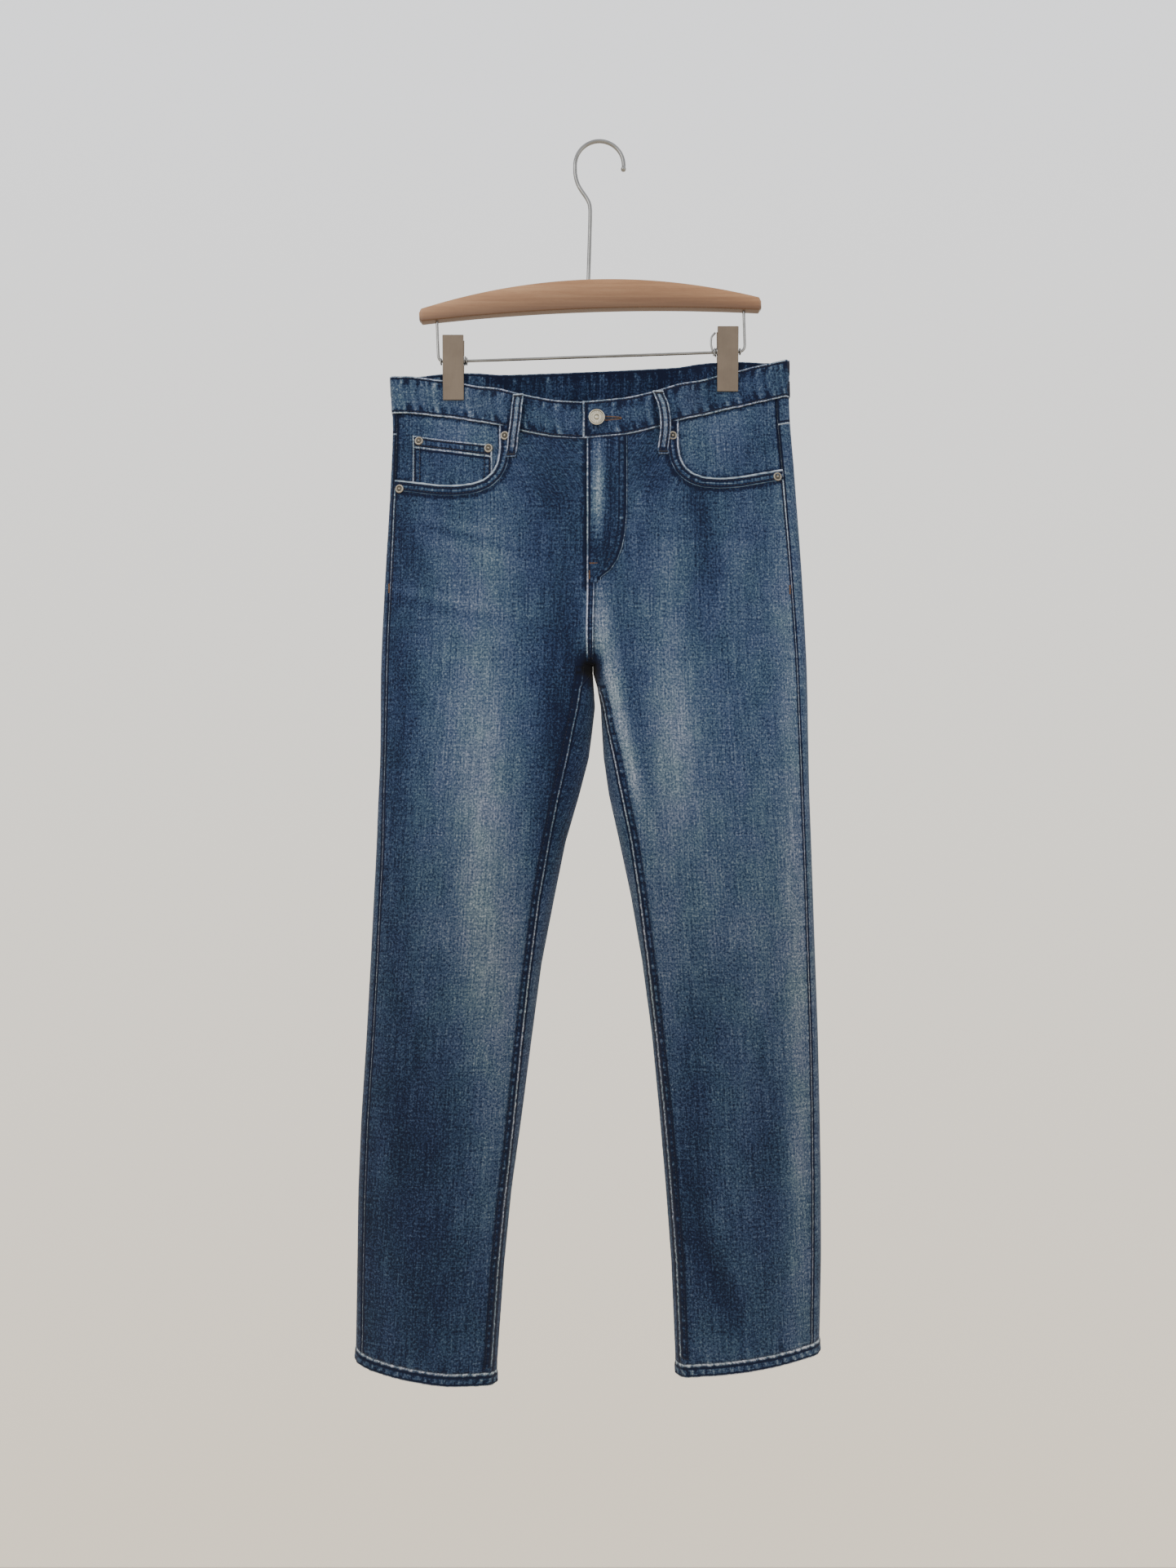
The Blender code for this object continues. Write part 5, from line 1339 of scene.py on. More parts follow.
@dataclass
class Waistband:
    """One strip round the waist: the lapping end with the buttonhole, the sides, the back and the underlap.

    Attributes:
        form: The cloth's form.
        looks: The finishes.
        quarter: Columns from a side fold to the centre.
        rows: Rows down the strip.
        wall: Thickness of the folded strip.
        proud: How far its face stands out from the panels.
        lap: How far the lapping end runs past the centre.
        underlap: How far the end below it runs past the centre.
        lay_gap: Room between the two laps.
        reach: How far from the centre the strip's side folds lie.
        inset: Distance of the topstitching from the strip's edges.
    """

    form: Form
    looks: Looks
    quarter: int = 104
    rows: int = 26
    wall: float = 2.2
    proud: float = 0.8
    lap: float = 6.5
    underlap: float = 32.0
    lay_gap: float = 0.75
    reach: float = 213.0
    inset: float = 2.4

    def stations(self) -> tuple[Array, Array, Array]:
        """Side, face and distance from the centre line of each column, negative past the centre."""
        reach = self.reach * np.sin(np.linspace(0.0, math.pi / 2, self.quarter + 1))
        first = np.linspace(-self.lap, 0.0, 4)[:-1]
        last = np.linspace(0.0, -self.underlap, 14)[1:]
        parts = (
            (1, -1, first), (1, -1, reach), (1, 1, reach[-2:0:-1]), (1, 1, np.zeros(1)), (-1, 1, reach[1:-1]),
            (-1, -1, reach[::-1]), (-1, -1, last),
        )
        side = np.concatenate([np.full(len(r), float(s)) for s, _, r in parts])
        face = np.concatenate([np.full(len(r), float(f)) for _, f, r in parts])
        return side, face, np.concatenate([r for _, _, r in parts])

    def make(self) -> Made:
        """Makes the strip and returns it with its grid."""
        form = self.form
        side, face, reach = self.stations()
        held = np.maximum(reach, 0.1)
        share = 0.5 - 0.5 * np.cos(np.linspace(0.0, math.pi, self.rows))
        below = form.band_height * (0.35 * share + 0.65 * even(self.rows))
        top = form.band_top(side * held, face)
        drop = top[None, :] + below[:, None]
        sides, faces, helds = (np.broadcast_to(v, drop.shape) for v in (side, face, held))
        outer = form.leg(sides, drop, OUTER)
        across = form.across_at(sides, sides * np.minimum(helds, outer), drop)
        across = np.where(helds >= self.reach - 0.1, 0.0, across)
        along = np.cumsum(np.concatenate([[0.0], np.abs(np.diff(side * reach)) + 1e-3]))
        along = np.broadcast_to(along, drop.shape)
        from_edge = np.minimum(below, form.band_height - below)[:, None]
        grip = 0.30 + 0.70 * bell(from_edge, 7.0)
        bend = 0.15 * (drop - top)
        wave = ripple(along + bend, 13.0, 0.7) + 0.55 * ripple(along - bend, 6.1, 2.9)
        near_clip = 1.0 - smooth_step(np.abs(helds - form.clip_x), 12.0, 22.0)
        relief = 0.42 * wave * grip * (1.0 - 0.8 * near_clip)
        fold = -0.4 * bell(from_edge, 0.6)
        stitched = -0.22 * bell(from_edge - 2.6, 0.8)
        behind = (self.wall + self.lay_gap) * smooth_step(-reach, -60.0, -12.0)
        under = np.where((side < 0) & (face < 0), behind, 0.0)
        end = np.abs(np.where(side > 0, reach + self.lap, FAR))
        end = np.where(face < 0, end * 0.75, FAR)[None, :]
        fold = np.minimum(fold, -0.4 * bell(end, 0.9))
        around = np.where(faces < 0, -across, across)
        points, normals = form.lay(sides, around, drop, self.proud + relief + fold + stitched - under)
        shift = -side * np.maximum(0.1 - reach, 0.0)
        points[..., 0] += shift * MM
        dark = np.where((side < 0) & (reach > 0), 0.12 * smooth_step(reach, 90.0, 150.0), -0.06)
        blot = ripple(along + 3.0 * np.sin(below[:, None] / 9.0), 12.0, 0.7)
        blot = blot + 0.5 * ripple(along - bend, 5.3, 2.9)
        edge_blot = bell(from_edge - 6.0, 4.5) + 0.25
        wash = 0.46 + dark + 0.54 * np.clip(blot - 0.3, -1.3, 0.6) * edge_blot
        # Painted shadow on the band along both sides of each belt loop
        loop_x = np.where(face > 0, 84.0, 75.0 + 4.0 * (below[:, None] - 5.0) / 40.0)
        wash = wash - 0.45 * bell(np.abs(reach - loop_x) - 6.6, 1.7)
        seam = np.minimum(np.broadcast_to(from_edge, drop.shape), end) * 1.15 + 0.1
        grid = Grid(points, normals, grid_uv(points), wash, seam)
        piece = cloth_object("waistband_cloth", grid, self.wall, self.looks.band, self.looks.inner_band)
        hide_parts("waistband")
        return piece, grid

    def stitch(self, threads: Threads) -> None:
        """Adds the topstitching near both edges, all round, and down the lapping end."""
        form, out = self.form, self.proud - 0.15
        end = -self.lap + self.inset
        reach, front, back = self.reach, Face.FRONT, Face.BACK
        for face, start, stop in ((front, end, reach), (front, -reach, -8.5), (back, -reach, reach)):
            x = np.linspace(start, stop, 240)
            for inset in (self.inset, form.band_height - self.inset):
                threads.row(pairs(x, form.band_top(x, face.value) + inset), face, out)
        top = float(form.band_top(0.2, -1.0))
        threads.row(pairs(np.full(12, end), np.linspace(top + 3.0, top + 37.0, 12)), Face.FRONT, out)


@dataclass
class HemRing:
    """The turned-up hem all round a leg's end, roped by its stitching.

    Attributes:
        form: The cloth's form.
        looks: The finishes.
        side: Which leg.
        columns: Columns round the ring.
        rows: Rows down it.
        wall: Thickness of the turned cloth.
        proud: How far its face stands out from the panels.
        stitch_up: Height of its row of stitches over the lower edge.
    """

    form: Form
    looks: Looks
    side: Side
    columns: int = 180
    rows: int = 15
    wall: float = 2.4
    proud: float = 0.5
    stitch_up: float = 11.5

    def make(self) -> Made:
        """Makes the ring and returns it with its grid."""
        form, sign = self.form, self.side.value
        half = even(self.columns // 2 + 1)[:-1]
        half = 0.5 * half + 0.5 * (0.5 - 0.5 * np.cos(math.pi * half))
        around = np.concatenate([-(1.0 - half), half])
        lift = form.hem_height * np.linspace(1.0, 0.0, self.rows)[:, None]
        drop = np.broadcast_to(np.full(self.columns, form.hem_drop), (self.rows, self.columns))
        arounds = np.broadcast_to(around, drop.shape)
        for _ in range(4):
            drop = form.hem_line(sign, form.points(sign, arounds, drop)[..., 0]) - lift
        bare = form.points(sign, arounds, drop)
        length = np.linalg.norm(np.diff(np.concatenate([bare, bare[:, :1]], axis=1), axis=1), axis=-1)
        along = np.cumsum(length, axis=1) - length
        lap = length.sum(axis=1, keepdims=True)
        turns = 2.0 * math.pi * along / lap
        edge = np.minimum(lift, form.hem_height - lift)
        rope = np.sin(37.0 * turns + 0.42 * lift + 0.9 * np.sin(5.0 * turns))
        rope = rope * (0.7 + 0.3 * np.sin(3.0 * turns + 1.0)) + 0.4 * np.sin(61.0 * turns - 0.3 * lift)
        low = 1.0 - lift / form.hem_height
        outside = bell(1.0 - np.cos(math.pi * np.abs(arounds)), 0.25)
        relief = 0.45 * rope * (0.45 + 0.55 * low) + 1.2 * outside * low
        fold = -1.0 * bell(edge, 1.0) - 0.3 * bell(lift - self.stitch_up, 1.0)
        points, normals = form.lay(sign, arounds, drop, self.proud + relief + fold)
        wash = form.fade(bare[..., 0], drop, face_sign(arounds)) + 0.05 + 0.34 * np.clip(rope, -1.3, 1.3)
        worn = np.minimum(lift * 1.3, (form.hem_height - lift) * 0.75)
        seam = np.broadcast_to(np.minimum(worn, np.abs(lift - self.stitch_up) + 1.2), drop.shape) + 0.2
        grid = Grid(points, normals, grid_uv(points, closed=True), wash, seam, closed=True)
        name = f"hem_{self.side.label}"
        piece = cloth_object(name + "_cloth", grid, self.wall, self.looks.denim, self.looks.reverse)
        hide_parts(name)
        return piece, grid

    def stitch(self, threads: Threads) -> None:
        """Adds the hem's row of stitches on both faces."""
        sign, leg = self.side.value, self.side.leg
        x = sign * np.linspace(leg[-1, INNER] + 1.0, leg[-1, OUTER] - 1.0, 60)
        line = pairs(x, self.form.hem_line(sign, x) - self.stitch_up)
        for face in Face:
            threads.row(line, face, self.proud - 0.2)


@dataclass
class Patch:
    """A piece of cloth that lies on the garment, as a lattice of places.

    Attributes:
        name: The piece's name.
        form: The cloth's form.
        looks: The finishes.
        face: The face that it lies on.
        xs: x of the lattice.
        drops: Drop of the lattice.
        out: Height over the form, for each place or as one value.
        nodes: The plain solids that it stands for.
        wall: Cloth thickness.
        worn: Letters of its folded edges.
        level: Added to the wash.
        soft: How far its folded edges round down, in millimetres.
        pucker_tone: Strength of the puckers' light and dark.
        tone: Added to the wash at each place.
        line: Distance of each place to one more worn line.
    """

    name: str
    form: Form
    looks: Looks
    face: Face
    xs: Array
    drops: Array
    out: Array | float
    nodes: tuple[str, ...]
    wall: float = 0.8
    worn: str = "tblr"
    level: float = 0.0
    soft: float = 0.45
    pucker_tone: float = 0.18
    tone: Array | float = 0.0
    line: Array | float = FAR

    def make(self) -> Made:
        """Makes the patch and returns it with its grid."""
        edge = edge_distance(self.xs, self.drops, self.worn)
        down = self.soft * bell(edge, 0.9)
        points, normals = self.form.at(self.xs, self.drops, self.face, self.out - down)
        place = self.xs, self.drops, self.face.value
        wash = self.form.fade(*place) + self.level + self.pucker_tone * self.form.tone(*place)
        seam = np.minimum(edge * 1.1, self.line) + 0.1
        grid = Grid(points, normals, grid_uv(points), wash + self.tone, seam)
        piece = cloth_object(self.name, grid, self.wall, self.looks.denim, self.looks.reverse)
        if self.nodes:
            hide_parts(*self.nodes)
        return piece, grid


@dataclass
class Details:
    """Small cloths that lie on the garment."""

    form: Form
    looks: Looks

    def patch(
        self, name: str, face: Face, xs: Array, drops: Array, out: Array | float, **more: object
    ) -> Made:
        """Makes the patch that stands for one plain solid."""
        return Patch(name + "_cloth", self.form, self.looks, face, xs, drops, out, (name,), **more).make()


@dataclass
class FrontDetails(Details):
    """Pocket facings, coin pocket, folded pocket edges, the fly and the felled seams of the front.

    Attributes:
        facing_low: Drop of a facing's lower edge.
        coin_outer: x of the coin pocket's outer edge.
        coin_inner: x of its inner edge.
        fly_edge: x of the fly's folded edge.
        fly_low: Drop of the fly's lower end.
        fell_width: Width of the felled seams.
        inseam_start: Drop from which an inseam follows the leg's outline.
    """

    facing_low: float = 139.0
    coin_outer: float = -189.0
    coin_inner: float = -102.5
    fly_edge: float = -2.2
    fly_low: float = 236.0
    fell_width: float = 8.6
    inseam_start: float = 343.0

    def facing(self, side: Side) -> Made:
        """The facing behind a pocket's opening."""
        form, sign, name = self.form, side.value, f"pocket_facing_{side.label}"
        drops = even(34)[:, None] + np.zeros(46)
        drop = 39.0 + 100.0 * drops
        for _ in range(6):
            outer = form.leg(sign, drop, OUTER) - form.leg(sign, drop, OUTSEAM) + 1.5
            x = sign * (outer + (88.0 - outer) * even(46))
            top = form.band_low(x, -1.0) - 1.5
            drop = top + (self.facing_low - top) * drops
        distance = along_line(np.abs(x), drop, POCKET_CURVE)[0]
        # The last term is painted shadow along the pocket's opening
        tone = 0.10 - 0.20 * smooth_step(np.abs(x) + 0.8 * drop, 190.0, 265.0) - 0.55 * bell(distance, 3.0)
        return self.patch(name, Face.FRONT, x, drop, self.facing_out(x, drop), wall=1.0, worn="l", level=0.12,
                          tone=tone)

    def facing_out(self, x: Array, drop: Array) -> Array:
        """Height of a facing over the form: close at the band and the outseam, deeper at the opening."""
        under_band = drop - self.form.band_top(x, -1.0) - self.form.band_height
        return -1.5 - 1.3 * smooth_step(under_band, 0.0, 45.0) * (1.0 - smooth_step(np.abs(x), 175.0, 212.0))

    def coin_pocket(self) -> Made:
        """The small pocket on the left facing, with its hemmed top."""
        x = np.linspace(self.coin_outer, self.coin_inner, 96)
        top = self.coin_top(x)
        low = np.interp(np.abs(x), POCKET_CURVE[:, 0], POCKET_CURVE[:, 1]) + 2.0
        drop = top + (low - top) * even(44)[:, None]
        xs = np.broadcast_to(x, drop.shape)
        below = drop - top
        hem = 0.5 * (1.0 - smooth_step(below, 11.0, 12.5))
        sides = np.minimum(xs - self.coin_outer, self.coin_inner - xs)
        out = self.facing_out(xs, drop) + 0.95 + hem + 0.25 * (1.0 - smooth_step(sides, 8.0, 9.5))
        rungs = 0.42 * ripple(xs, 5.2, 0.4) * bell(below - 6.2, 3.2)
        rungs = rungs + 0.30 * ripple(drop, 5.6, 1.9) * bell(sides - 5.5, 2.8)
        rungs = rungs - 0.45 * bell(sides - 8.4, 0.9) * (below > 12.0)
        return self.patch("coin_pocket", Face.FRONT, xs, drop, out, worn="tlr", level=0.02, tone=rungs,
                          line=np.abs(below - 12.4) + 0.75)

    def coin_top(self, x: Array) -> Array:
        """Drop of the coin pocket's top edge."""
        return 69.0 + 17.0 * (x - self.coin_outer) / (self.coin_inner - self.coin_outer)

    def pocket_edge(self, side: Side) -> Made:
        """The folded edge round a pocket's opening, on the front panel."""
        sign, leg = side.value, side.leg
        rows, columns, over, width = 210, 16, 0.9, 10.5
        line = soft_line(POCKET_CURVE[POCKET_CURVE[:, 1] > 60])
        reach = float(np.interp(114.0, leg[:, 0], leg[:, OUTER] - leg[:, OUTSEAM])) - 0.3
        line = line[line[:, 0] < reach]
        line = np.concatenate([line, [[reach, line[-1, 1]]]])
        line[0, 1] = float(self.form.band_low(line[0, 0], -1.0)) + 0.2
        inner = beside(line, -width)
        inner = pairs(inner[:, 0], np.maximum(inner[:, 1], line[0, 1]))
        middle = beside(line, over)
        middle[0, 1] = line[0, 1]
        xs, drops = lattice(middle, inner, rows, columns)
        t = (over + width) * even(columns)[None, :] + np.zeros((rows, 1))
        step = np.hypot(np.diff(xs[:, 0]), np.diff(drops[:, 0]))
        along = np.concatenate([[0.0], np.cumsum(step)])[:, None]
        rungs = ripple(along, 3.6, 0.8 + sign) * bell(t - 5.6, 2.6)
        out = 1.10 - 0.6 * bell(t, 0.9) - 0.35 * smooth_step(t, 8.5, over + width) + 0.22 * rungs
        out = out - 0.3 * (bell(t - 2.9, 0.8) + bell(t - 8.9, 0.8))
        return Patch(f"pocket_edge_{side.label}", self.form, self.looks, Face.FRONT, sign * xs, drops, out,
                     (), wall=0.9, worn="l", level=0.06, soft=0.0, tone=0.42 * rungs,
                     line=np.minimum(np.abs(t - 11.2) + 1.45, 0.85 * t)).make()

    def fly(self) -> Made:
        """The fly's layer on the right front: a folded edge, and a stitched J where it meets the panel."""
        rows, columns = 120, 48

        def across(drop: Array) -> tuple[Array, Array]:
            """x of the columns and of the last one, a little past the J."""
            right = np.interp(drop, J_LINE[:, 0], J_LINE[:, 1]) + 3.0
            return self.fly_edge + (right - self.fly_edge) * even(columns), right

        x, _ = across(np.linspace(84.6, self.fly_low, rows)[:, None] + np.zeros(columns))
        top = self.form.band_low(x, -1.0) + 0.2
        drop = top + (self.fly_low - top) * even(rows)[:, None]
        x, right = across(drop)
        past = smooth_step(x - right, -1.9, 0.0)
        low = smooth_step(drop, self.fly_low - 10.0, self.fly_low)
        out = 1.3 - 1.9 * np.maximum(past, low * (x > 9.5))
        ridge = 0.35 * bell(x - 12.0, 5.0) - 0.45 * bell(x - 20.5, 2.2)
        inset = right - x
        rungs = 0.30 * ripple(drop, 6.5, 2.2) * bell(inset - 6.5, 3.2) - 0.08
        rows_dark = bell(inset - 4.4, 0.9) + bell(inset - 9.5, 0.9)
        rungs = rungs - 0.50 * rows_dark * (0.8 + 0.4 * np.sin(drop * 2.0 * math.pi / 3.6))
        rungs = rungs + 0.24 * bell(x - 10.6, 4.6) * (1.0 - smooth_step(drop, 190.0, 225.0))
        return self.patch("fly", Face.FRONT, x, drop, out + ridge, wall=0.9, worn="l", soft=0.35, tone=rungs,
                          line=np.abs(inset - 1.7) + 1.3)

    def rise(self) -> Made:
        """The felled rise from the fly down to the crotch."""
        drop = np.linspace(229.0, 320.0, 90)[:, None] + np.zeros(13)
        lean = self.lean(drop)
        x = self.fly_edge + lean + self.fell_width * even(13)
        out = 1.25 - 0.35 * smooth_step(drop, 300.0, 320.0)
        rungs = 0.32 * ripple(drop, 5.4, 1.1) * bell(x - lean - 2.0, 2.8)
        return self.patch("rise_fell_front", Face.FRONT, x, drop, out, worn="l", level=0.06, soft=0.5,
                          tone=rungs, line=np.abs(x - lean - 5.2) + 1.35)

    def lean(self, drop: Array) -> Array:
        """How far the rise's fell leans to the left on its way to the crotch."""
        return self.form.rise_x(drop) * 0.45 - 2.6 * smooth_step(drop, 229.0, 304.0)

    def inseam(self, side: Side) -> Made:
        """The felled inseam, on the front panel beside the seam."""
        form, sign = self.form, side.value
        start, end = (323.0, 1062.0) if side is Side.LEFT else (self.inseam_start, 1058.0)
        drop = np.linspace(start, end, 440)[:, None] + np.zeros(14)
        held = np.maximum(drop, self.inseam_start)
        inner = form.inseam_edge(sign, held) - 0.09 * (held - drop)
        offset = form.seam_half + self.fell_width * even(14)
        rungs = 0.60 * ripple(drop, 7.2, 0.9 + sign) * bell(offset - 5.2, 2.2) - 0.10
        rungs = rungs - 0.36 * bell(offset - 7.4, 1.1)
        groove = -0.35 * (bell(offset - 1.6, 0.8) + bell(offset - 6.6, 0.8))
        x = sign * (inner + offset)
        return self.patch(f"inseam_fell_{side.label}", Face.FRONT, x, drop, 0.95 + groove, worn="l",
                          level=-0.15, soft=0.4, tone=rungs)

    def stitch(self, threads: Threads) -> None:
        """Adds every row of the front: the J, the rise, the pockets, the inseams and the outseams."""
        form = self.form
        j_line = soft_line(J_LINE[:, ::-1])
        for inset in (-1.4, -6.5):
            line = beside(j_line, inset)
            threads.row(line[line[:, 0] > 2.0], Face.FRONT, 1.0)
        down = np.linspace(self.fly_low, 316.0, 28)
        lean = self.lean(down)
        for x in (0.2, 4.0):
            threads.row(pairs(x + lean, down), Face.FRONT, 1.05)
        for side in Side:
            sign, leg = side.value, side.leg
            line = soft_line(POCKET_CURVE[(POCKET_CURVE[:, 1] > 68) & (POCKET_CURVE[:, 0] < 215)])
            for inset in (-2.0, -8.0):
                moved = beside(line, inset)
                threads.row(pairs(sign * moved[:, 0], moved[:, 1]), Face.FRONT, 0.75)
            drop = np.linspace(356.0, 1056.0, 240)
            for inset in (1.8, 6.8):
                threads.row(pairs(sign * (form.inseam_edge(sign, drop) + inset), drop), Face.FRONT, 0.5)
            outseam = leg[:, OUTER] - leg[:, OUTSEAM]
            drop = np.linspace(122.0, 262.0, 40)
            threads.row(pairs(sign * (np.interp(drop, leg[:, 0], outseam) - 2.2), drop), Face.FRONT, -0.1)
        x = np.linspace(-187.0, -104.5, 12)
        for inset in (2.7, 10.0):
            threads.row(pairs(x, self.coin_top(x) + inset), Face.FRONT, -0.6)
        for x, low in ((-186.6, 118.5), (-181.0, 119.5), (-105.0, 117.5), (-110.6, 121.0)):
            threads.row(np.array(((x, self.coin_top(x) + 2.6), (x, low))), Face.FRONT, -0.8)


@dataclass
class BackDetails(Details):
    """Patch pockets and the felled seams of the back, which the photo doesn't show and which stay plain.

    Attributes:
        rise_low: Drop of the centre seam's lower end.
    """

    rise_low: float = 318.0

    def pocket(self, side: Side) -> Made:
        """A five-sided patch pocket with folded edges."""
        top_in, side_in, point, side_out, top_out = BACK_POCKET
        low = resampled(soft_line(np.array((side_in, point, side_out)), 1.5, 10), 45)
        top = top_in + (top_out - top_in) * even(45)[:, None]
        grid = top[None] + (low - top)[None] * even(48)[:, None, None]
        hem = 0.45 * (1.0 - smooth_step(grid[..., 1] - top[None, :, 1], 13.0, 15.0))
        return self.patch(f"back_pocket_{side.label}", Face.BACK, side.value * grid[..., 0], grid[..., 1],
                          1.35 + hem, wall=0.9, soft=0.8)

    def yoke_seam(self, side: Side) -> Made:
        """The felled seam under the yoke."""
        x = side.value * np.linspace(4.0, 208.0, 90)[:, None] + np.zeros(7)
        drop = self.form.yoke_seam(x) + 0.3 + 8.2 * even(7)
        return self.patch(f"yoke_fell_{side.label}", Face.BACK, x, drop, 1.05, worn="l", soft=0.7)

    def rise(self) -> Made:
        """The felled centre seam."""
        top = float(self.form.band_low(0.2, 1.0))
        drop = top + (self.rise_low - top) * even(140)[:, None] + np.zeros(8)
        x = self.form.rise_x(drop) + 9.0 * (even(8) - 0.5)
        out = 1.2 - 0.4 * smooth_step(drop, 300.0, self.rise_low)
        return self.patch("rise_fell_back", Face.BACK, x, drop, out, worn="lr", soft=0.7)

    def stitch(self, threads: Threads) -> None:
        """Adds the rows of the yoke seams, the centre seam and the patch pockets."""
        form = self.form
        down = np.linspace(48.0, 316.0, 80)
        for offset in (-2.9, 2.9):
            threads.row(pairs(form.rise_x(down) + offset, down), Face.BACK, 1.0)
        outline = soft_line(BACK_POCKET, 1.5, 4)
        for side in Side:
            x = side.value * np.linspace(6.0, 206.0, 60)
            for inset in (2.0, 6.8):
                threads.row(pairs(x, form.yoke_seam(x) + inset), Face.BACK, 0.85)
            for inset in (2.2, 8.0):
                moved = beside(outline, inset)
                moved = moved[moved[:, 1] > 141.0]
                threads.row(pairs(side.value * moved[:, 0], moved[:, 1]), Face.BACK, 1.15)
            (x0, drop0), (x1, drop1) = BACK_POCKET[0], BACK_POCKET[-1]
            for inset in (2.4, 12.4):
                x, drop = side.value * np.array((x0 + 3, x1 - 3)), np.array((drop0, drop1)) + inset
                threads.row(pairs(x, drop), Face.BACK, 1.5)


@dataclass(frozen=True)
class LoopPlace:
    """Where a belt loop sits: its ends' x, its bow sideways and how far it hangs below the band."""

    name: str
    face: Face
    top_x: float
    low_x: float
    bow: float
    hang: float


@dataclass
class BeltLoops:
    """Straps over the waistband, sewn flat at both ends and standing off between them.

    Attributes:
        form: The cloth's form.
        looks: The finishes.
        width: Width of a strap, in millimetres.
        wall: Thickness of a strap.
        clearance: How far its middle stands off the waistband.
        band_proud: How far the waistband stands out from the panels.
        stitch_x: Distance of the lengthwise rows from a strap's middle.
        stitch_size: Thickness of their stitches.
        tack_size: Thickness of the stitches of its tacks.
        places: Where each strap sits.
    """

    form: Form
    looks: Looks
    width: float = 11.3
    wall: float = 1.2
    clearance: float = 5.4
    band_proud: float = 0.8
    stitch_x: float = 2.9
    stitch_size: float = 0.75
    tack_size: float = 0.9
    places: tuple[LoopPlace, ...] = (
        LoopPlace("belt_loop_front_left", Face.FRONT, -74.5, -82.3, 1.6, 31.0),
        LoopPlace("belt_loop_front_right", Face.FRONT, 72.8, 78.5, 4.2, 31.0),
        LoopPlace("belt_loop_back_left", Face.BACK, -84.0, -84.0, 0.0, 12.0),
        LoopPlace("belt_loop_back_right", Face.BACK, 84.0, 84.0, 0.0, 12.0),
        LoopPlace("belt_loop_back_centre", Face.BACK, 0.0, 0.0, 0.0, 12.0),
    )

    def strap(self, place: LoopPlace, share: Array, across: Array) -> tuple[Array, Array, Array]:
        """Points, normals and drops of a strap at shares of its length and places across it."""
        form = self.form
        top = float(form.band_top(place.top_x or 0.2, place.face.value)) + 1.5
        low = float(form.band_low(place.low_x or 0.2, place.face.value)) + place.hang
        drop = top + (low - top) * share
        rise = smooth_step(share, 0.05, 0.24) * (1.0 - smooth_step(share, 0.66, 0.88))
        bowed = place.bow * np.sin(math.pi * np.minimum(share * 1.1, 1.0))
        x = place.top_x + (place.low_x - place.top_x) * share + bowed
        band_low = form.band_low(x, place.face.value)
        on_band = self.band_proud * (1.0 - smooth_step(drop, band_low + 0.5, band_low + 7.0))
        rounded = -0.3 * bell(self.width / 2 - np.abs(across), 0.6)
        ridge = 0.18 * np.cos(across * 2.0 * math.pi / 3.8)
        out = on_band + 0.75 + self.wall + rise * self.clearance + rounded + ridge
        points, normals = form.at(x + across, drop, place.face, out)
        return points, normals, drop

    def make(self, place: LoopPlace) -> Made:
        """Makes one strap and returns it with its grid."""
        share = even(64)[:, None] + np.zeros(21)
        across = self.width * (even(21) - 0.5) + np.zeros(share.shape)
        points, normals, drop = self.strap(place, share, across)
        low_end = float(drop[-1, 0])
        edge = np.minimum(self.width / 2 - np.abs(across), np.minimum(drop - drop[0, 0], low_end - drop))
        wash = 0.38 + 0.12 * np.sin(drop / 2.1 + 2.0 * np.sin(drop / 7.0)) * bell(edge, 3.0)
        worn = smooth_step(share, -0.1, 0.1) * (1.0 - smooth_step(share, 0.80, 0.95))
        wash = wash + 0.50 * worn * np.exp(-((across / 1.9) ** 4)) - 0.45 * smooth_step(share, 0.86, 0.93)
        grid = Grid(points, normals, grid_uv(points), wash, edge * 1.2 + 0.15)
        piece = cloth_object(place.name + "_cloth", grid, self.wall, self.looks.band, self.looks.reverse)
        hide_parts(place.name)
        return piece, grid

    def stitch(self, threads: Threads) -> None:
        """Adds two lengthwise rows and a bar tack at each end of every loop."""
        for place in self.places:
            share = np.linspace(0.04, 0.96, 19)
            step = share[1] - share[0]
            for offset in (-self.stitch_x, self.stitch_x):
                a, normal, _ = self.strap(place, share[:-1], np.full(18, offset))
                b, _, _ = self.strap(place, share[:-1] + step * 0.72, np.full(18, offset))
                threads.between(a, b, normal, self.stitch_size)
            for end in (0.028, 0.955):
                across = np.linspace(-4.6, 4.6, 12)
                a, normal, _ = self.strap(place, np.full(12, end - 0.012), across - 0.3)
                b, _, _ = self.strap(place, np.full(12, end + 0.018), across + 0.3)
                threads.between(a, b, normal, self.tack_size)


def ring_mesh(name: str, rings: Array, finish: Material) -> Piece:
    """A closed piece through rings of points, with a flat end on the first and the last ring.

    Args:
        name: The piece's name.
        rings: Points as rings, points round each and 3, in metres.
        finish: Its finish.

    Returns:
        The piece.
    """
    count, sides = rings.shape[:2]
    index = np.arange(count * sides).reshape(count, sides)
    wrap = np.concatenate([index, index[:, :1]], axis=1)
    quads = np.stack([wrap[:-1, :-1], wrap[:-1, 1:], wrap[1:, 1:], wrap[1:, :-1]], axis=-1).reshape(-1, 4)
    faces = quads.tolist() + [index[0, ::-1].tolist(), index[-1].tolist()]
    points = rings.reshape(-1, 3)
    a, b, c = (points[quads[:, i]] for i in (0, 1, 2))
    volume = float(np.sum(np.cross(a, b) * c))
    if volume < 0:
        faces = [face[::-1] for face in faces]
    piece = mesh_object(name, points, faces, [finish])
    piece.data.set_sharp_from_angle(angle=math.radians(42))
    return piece


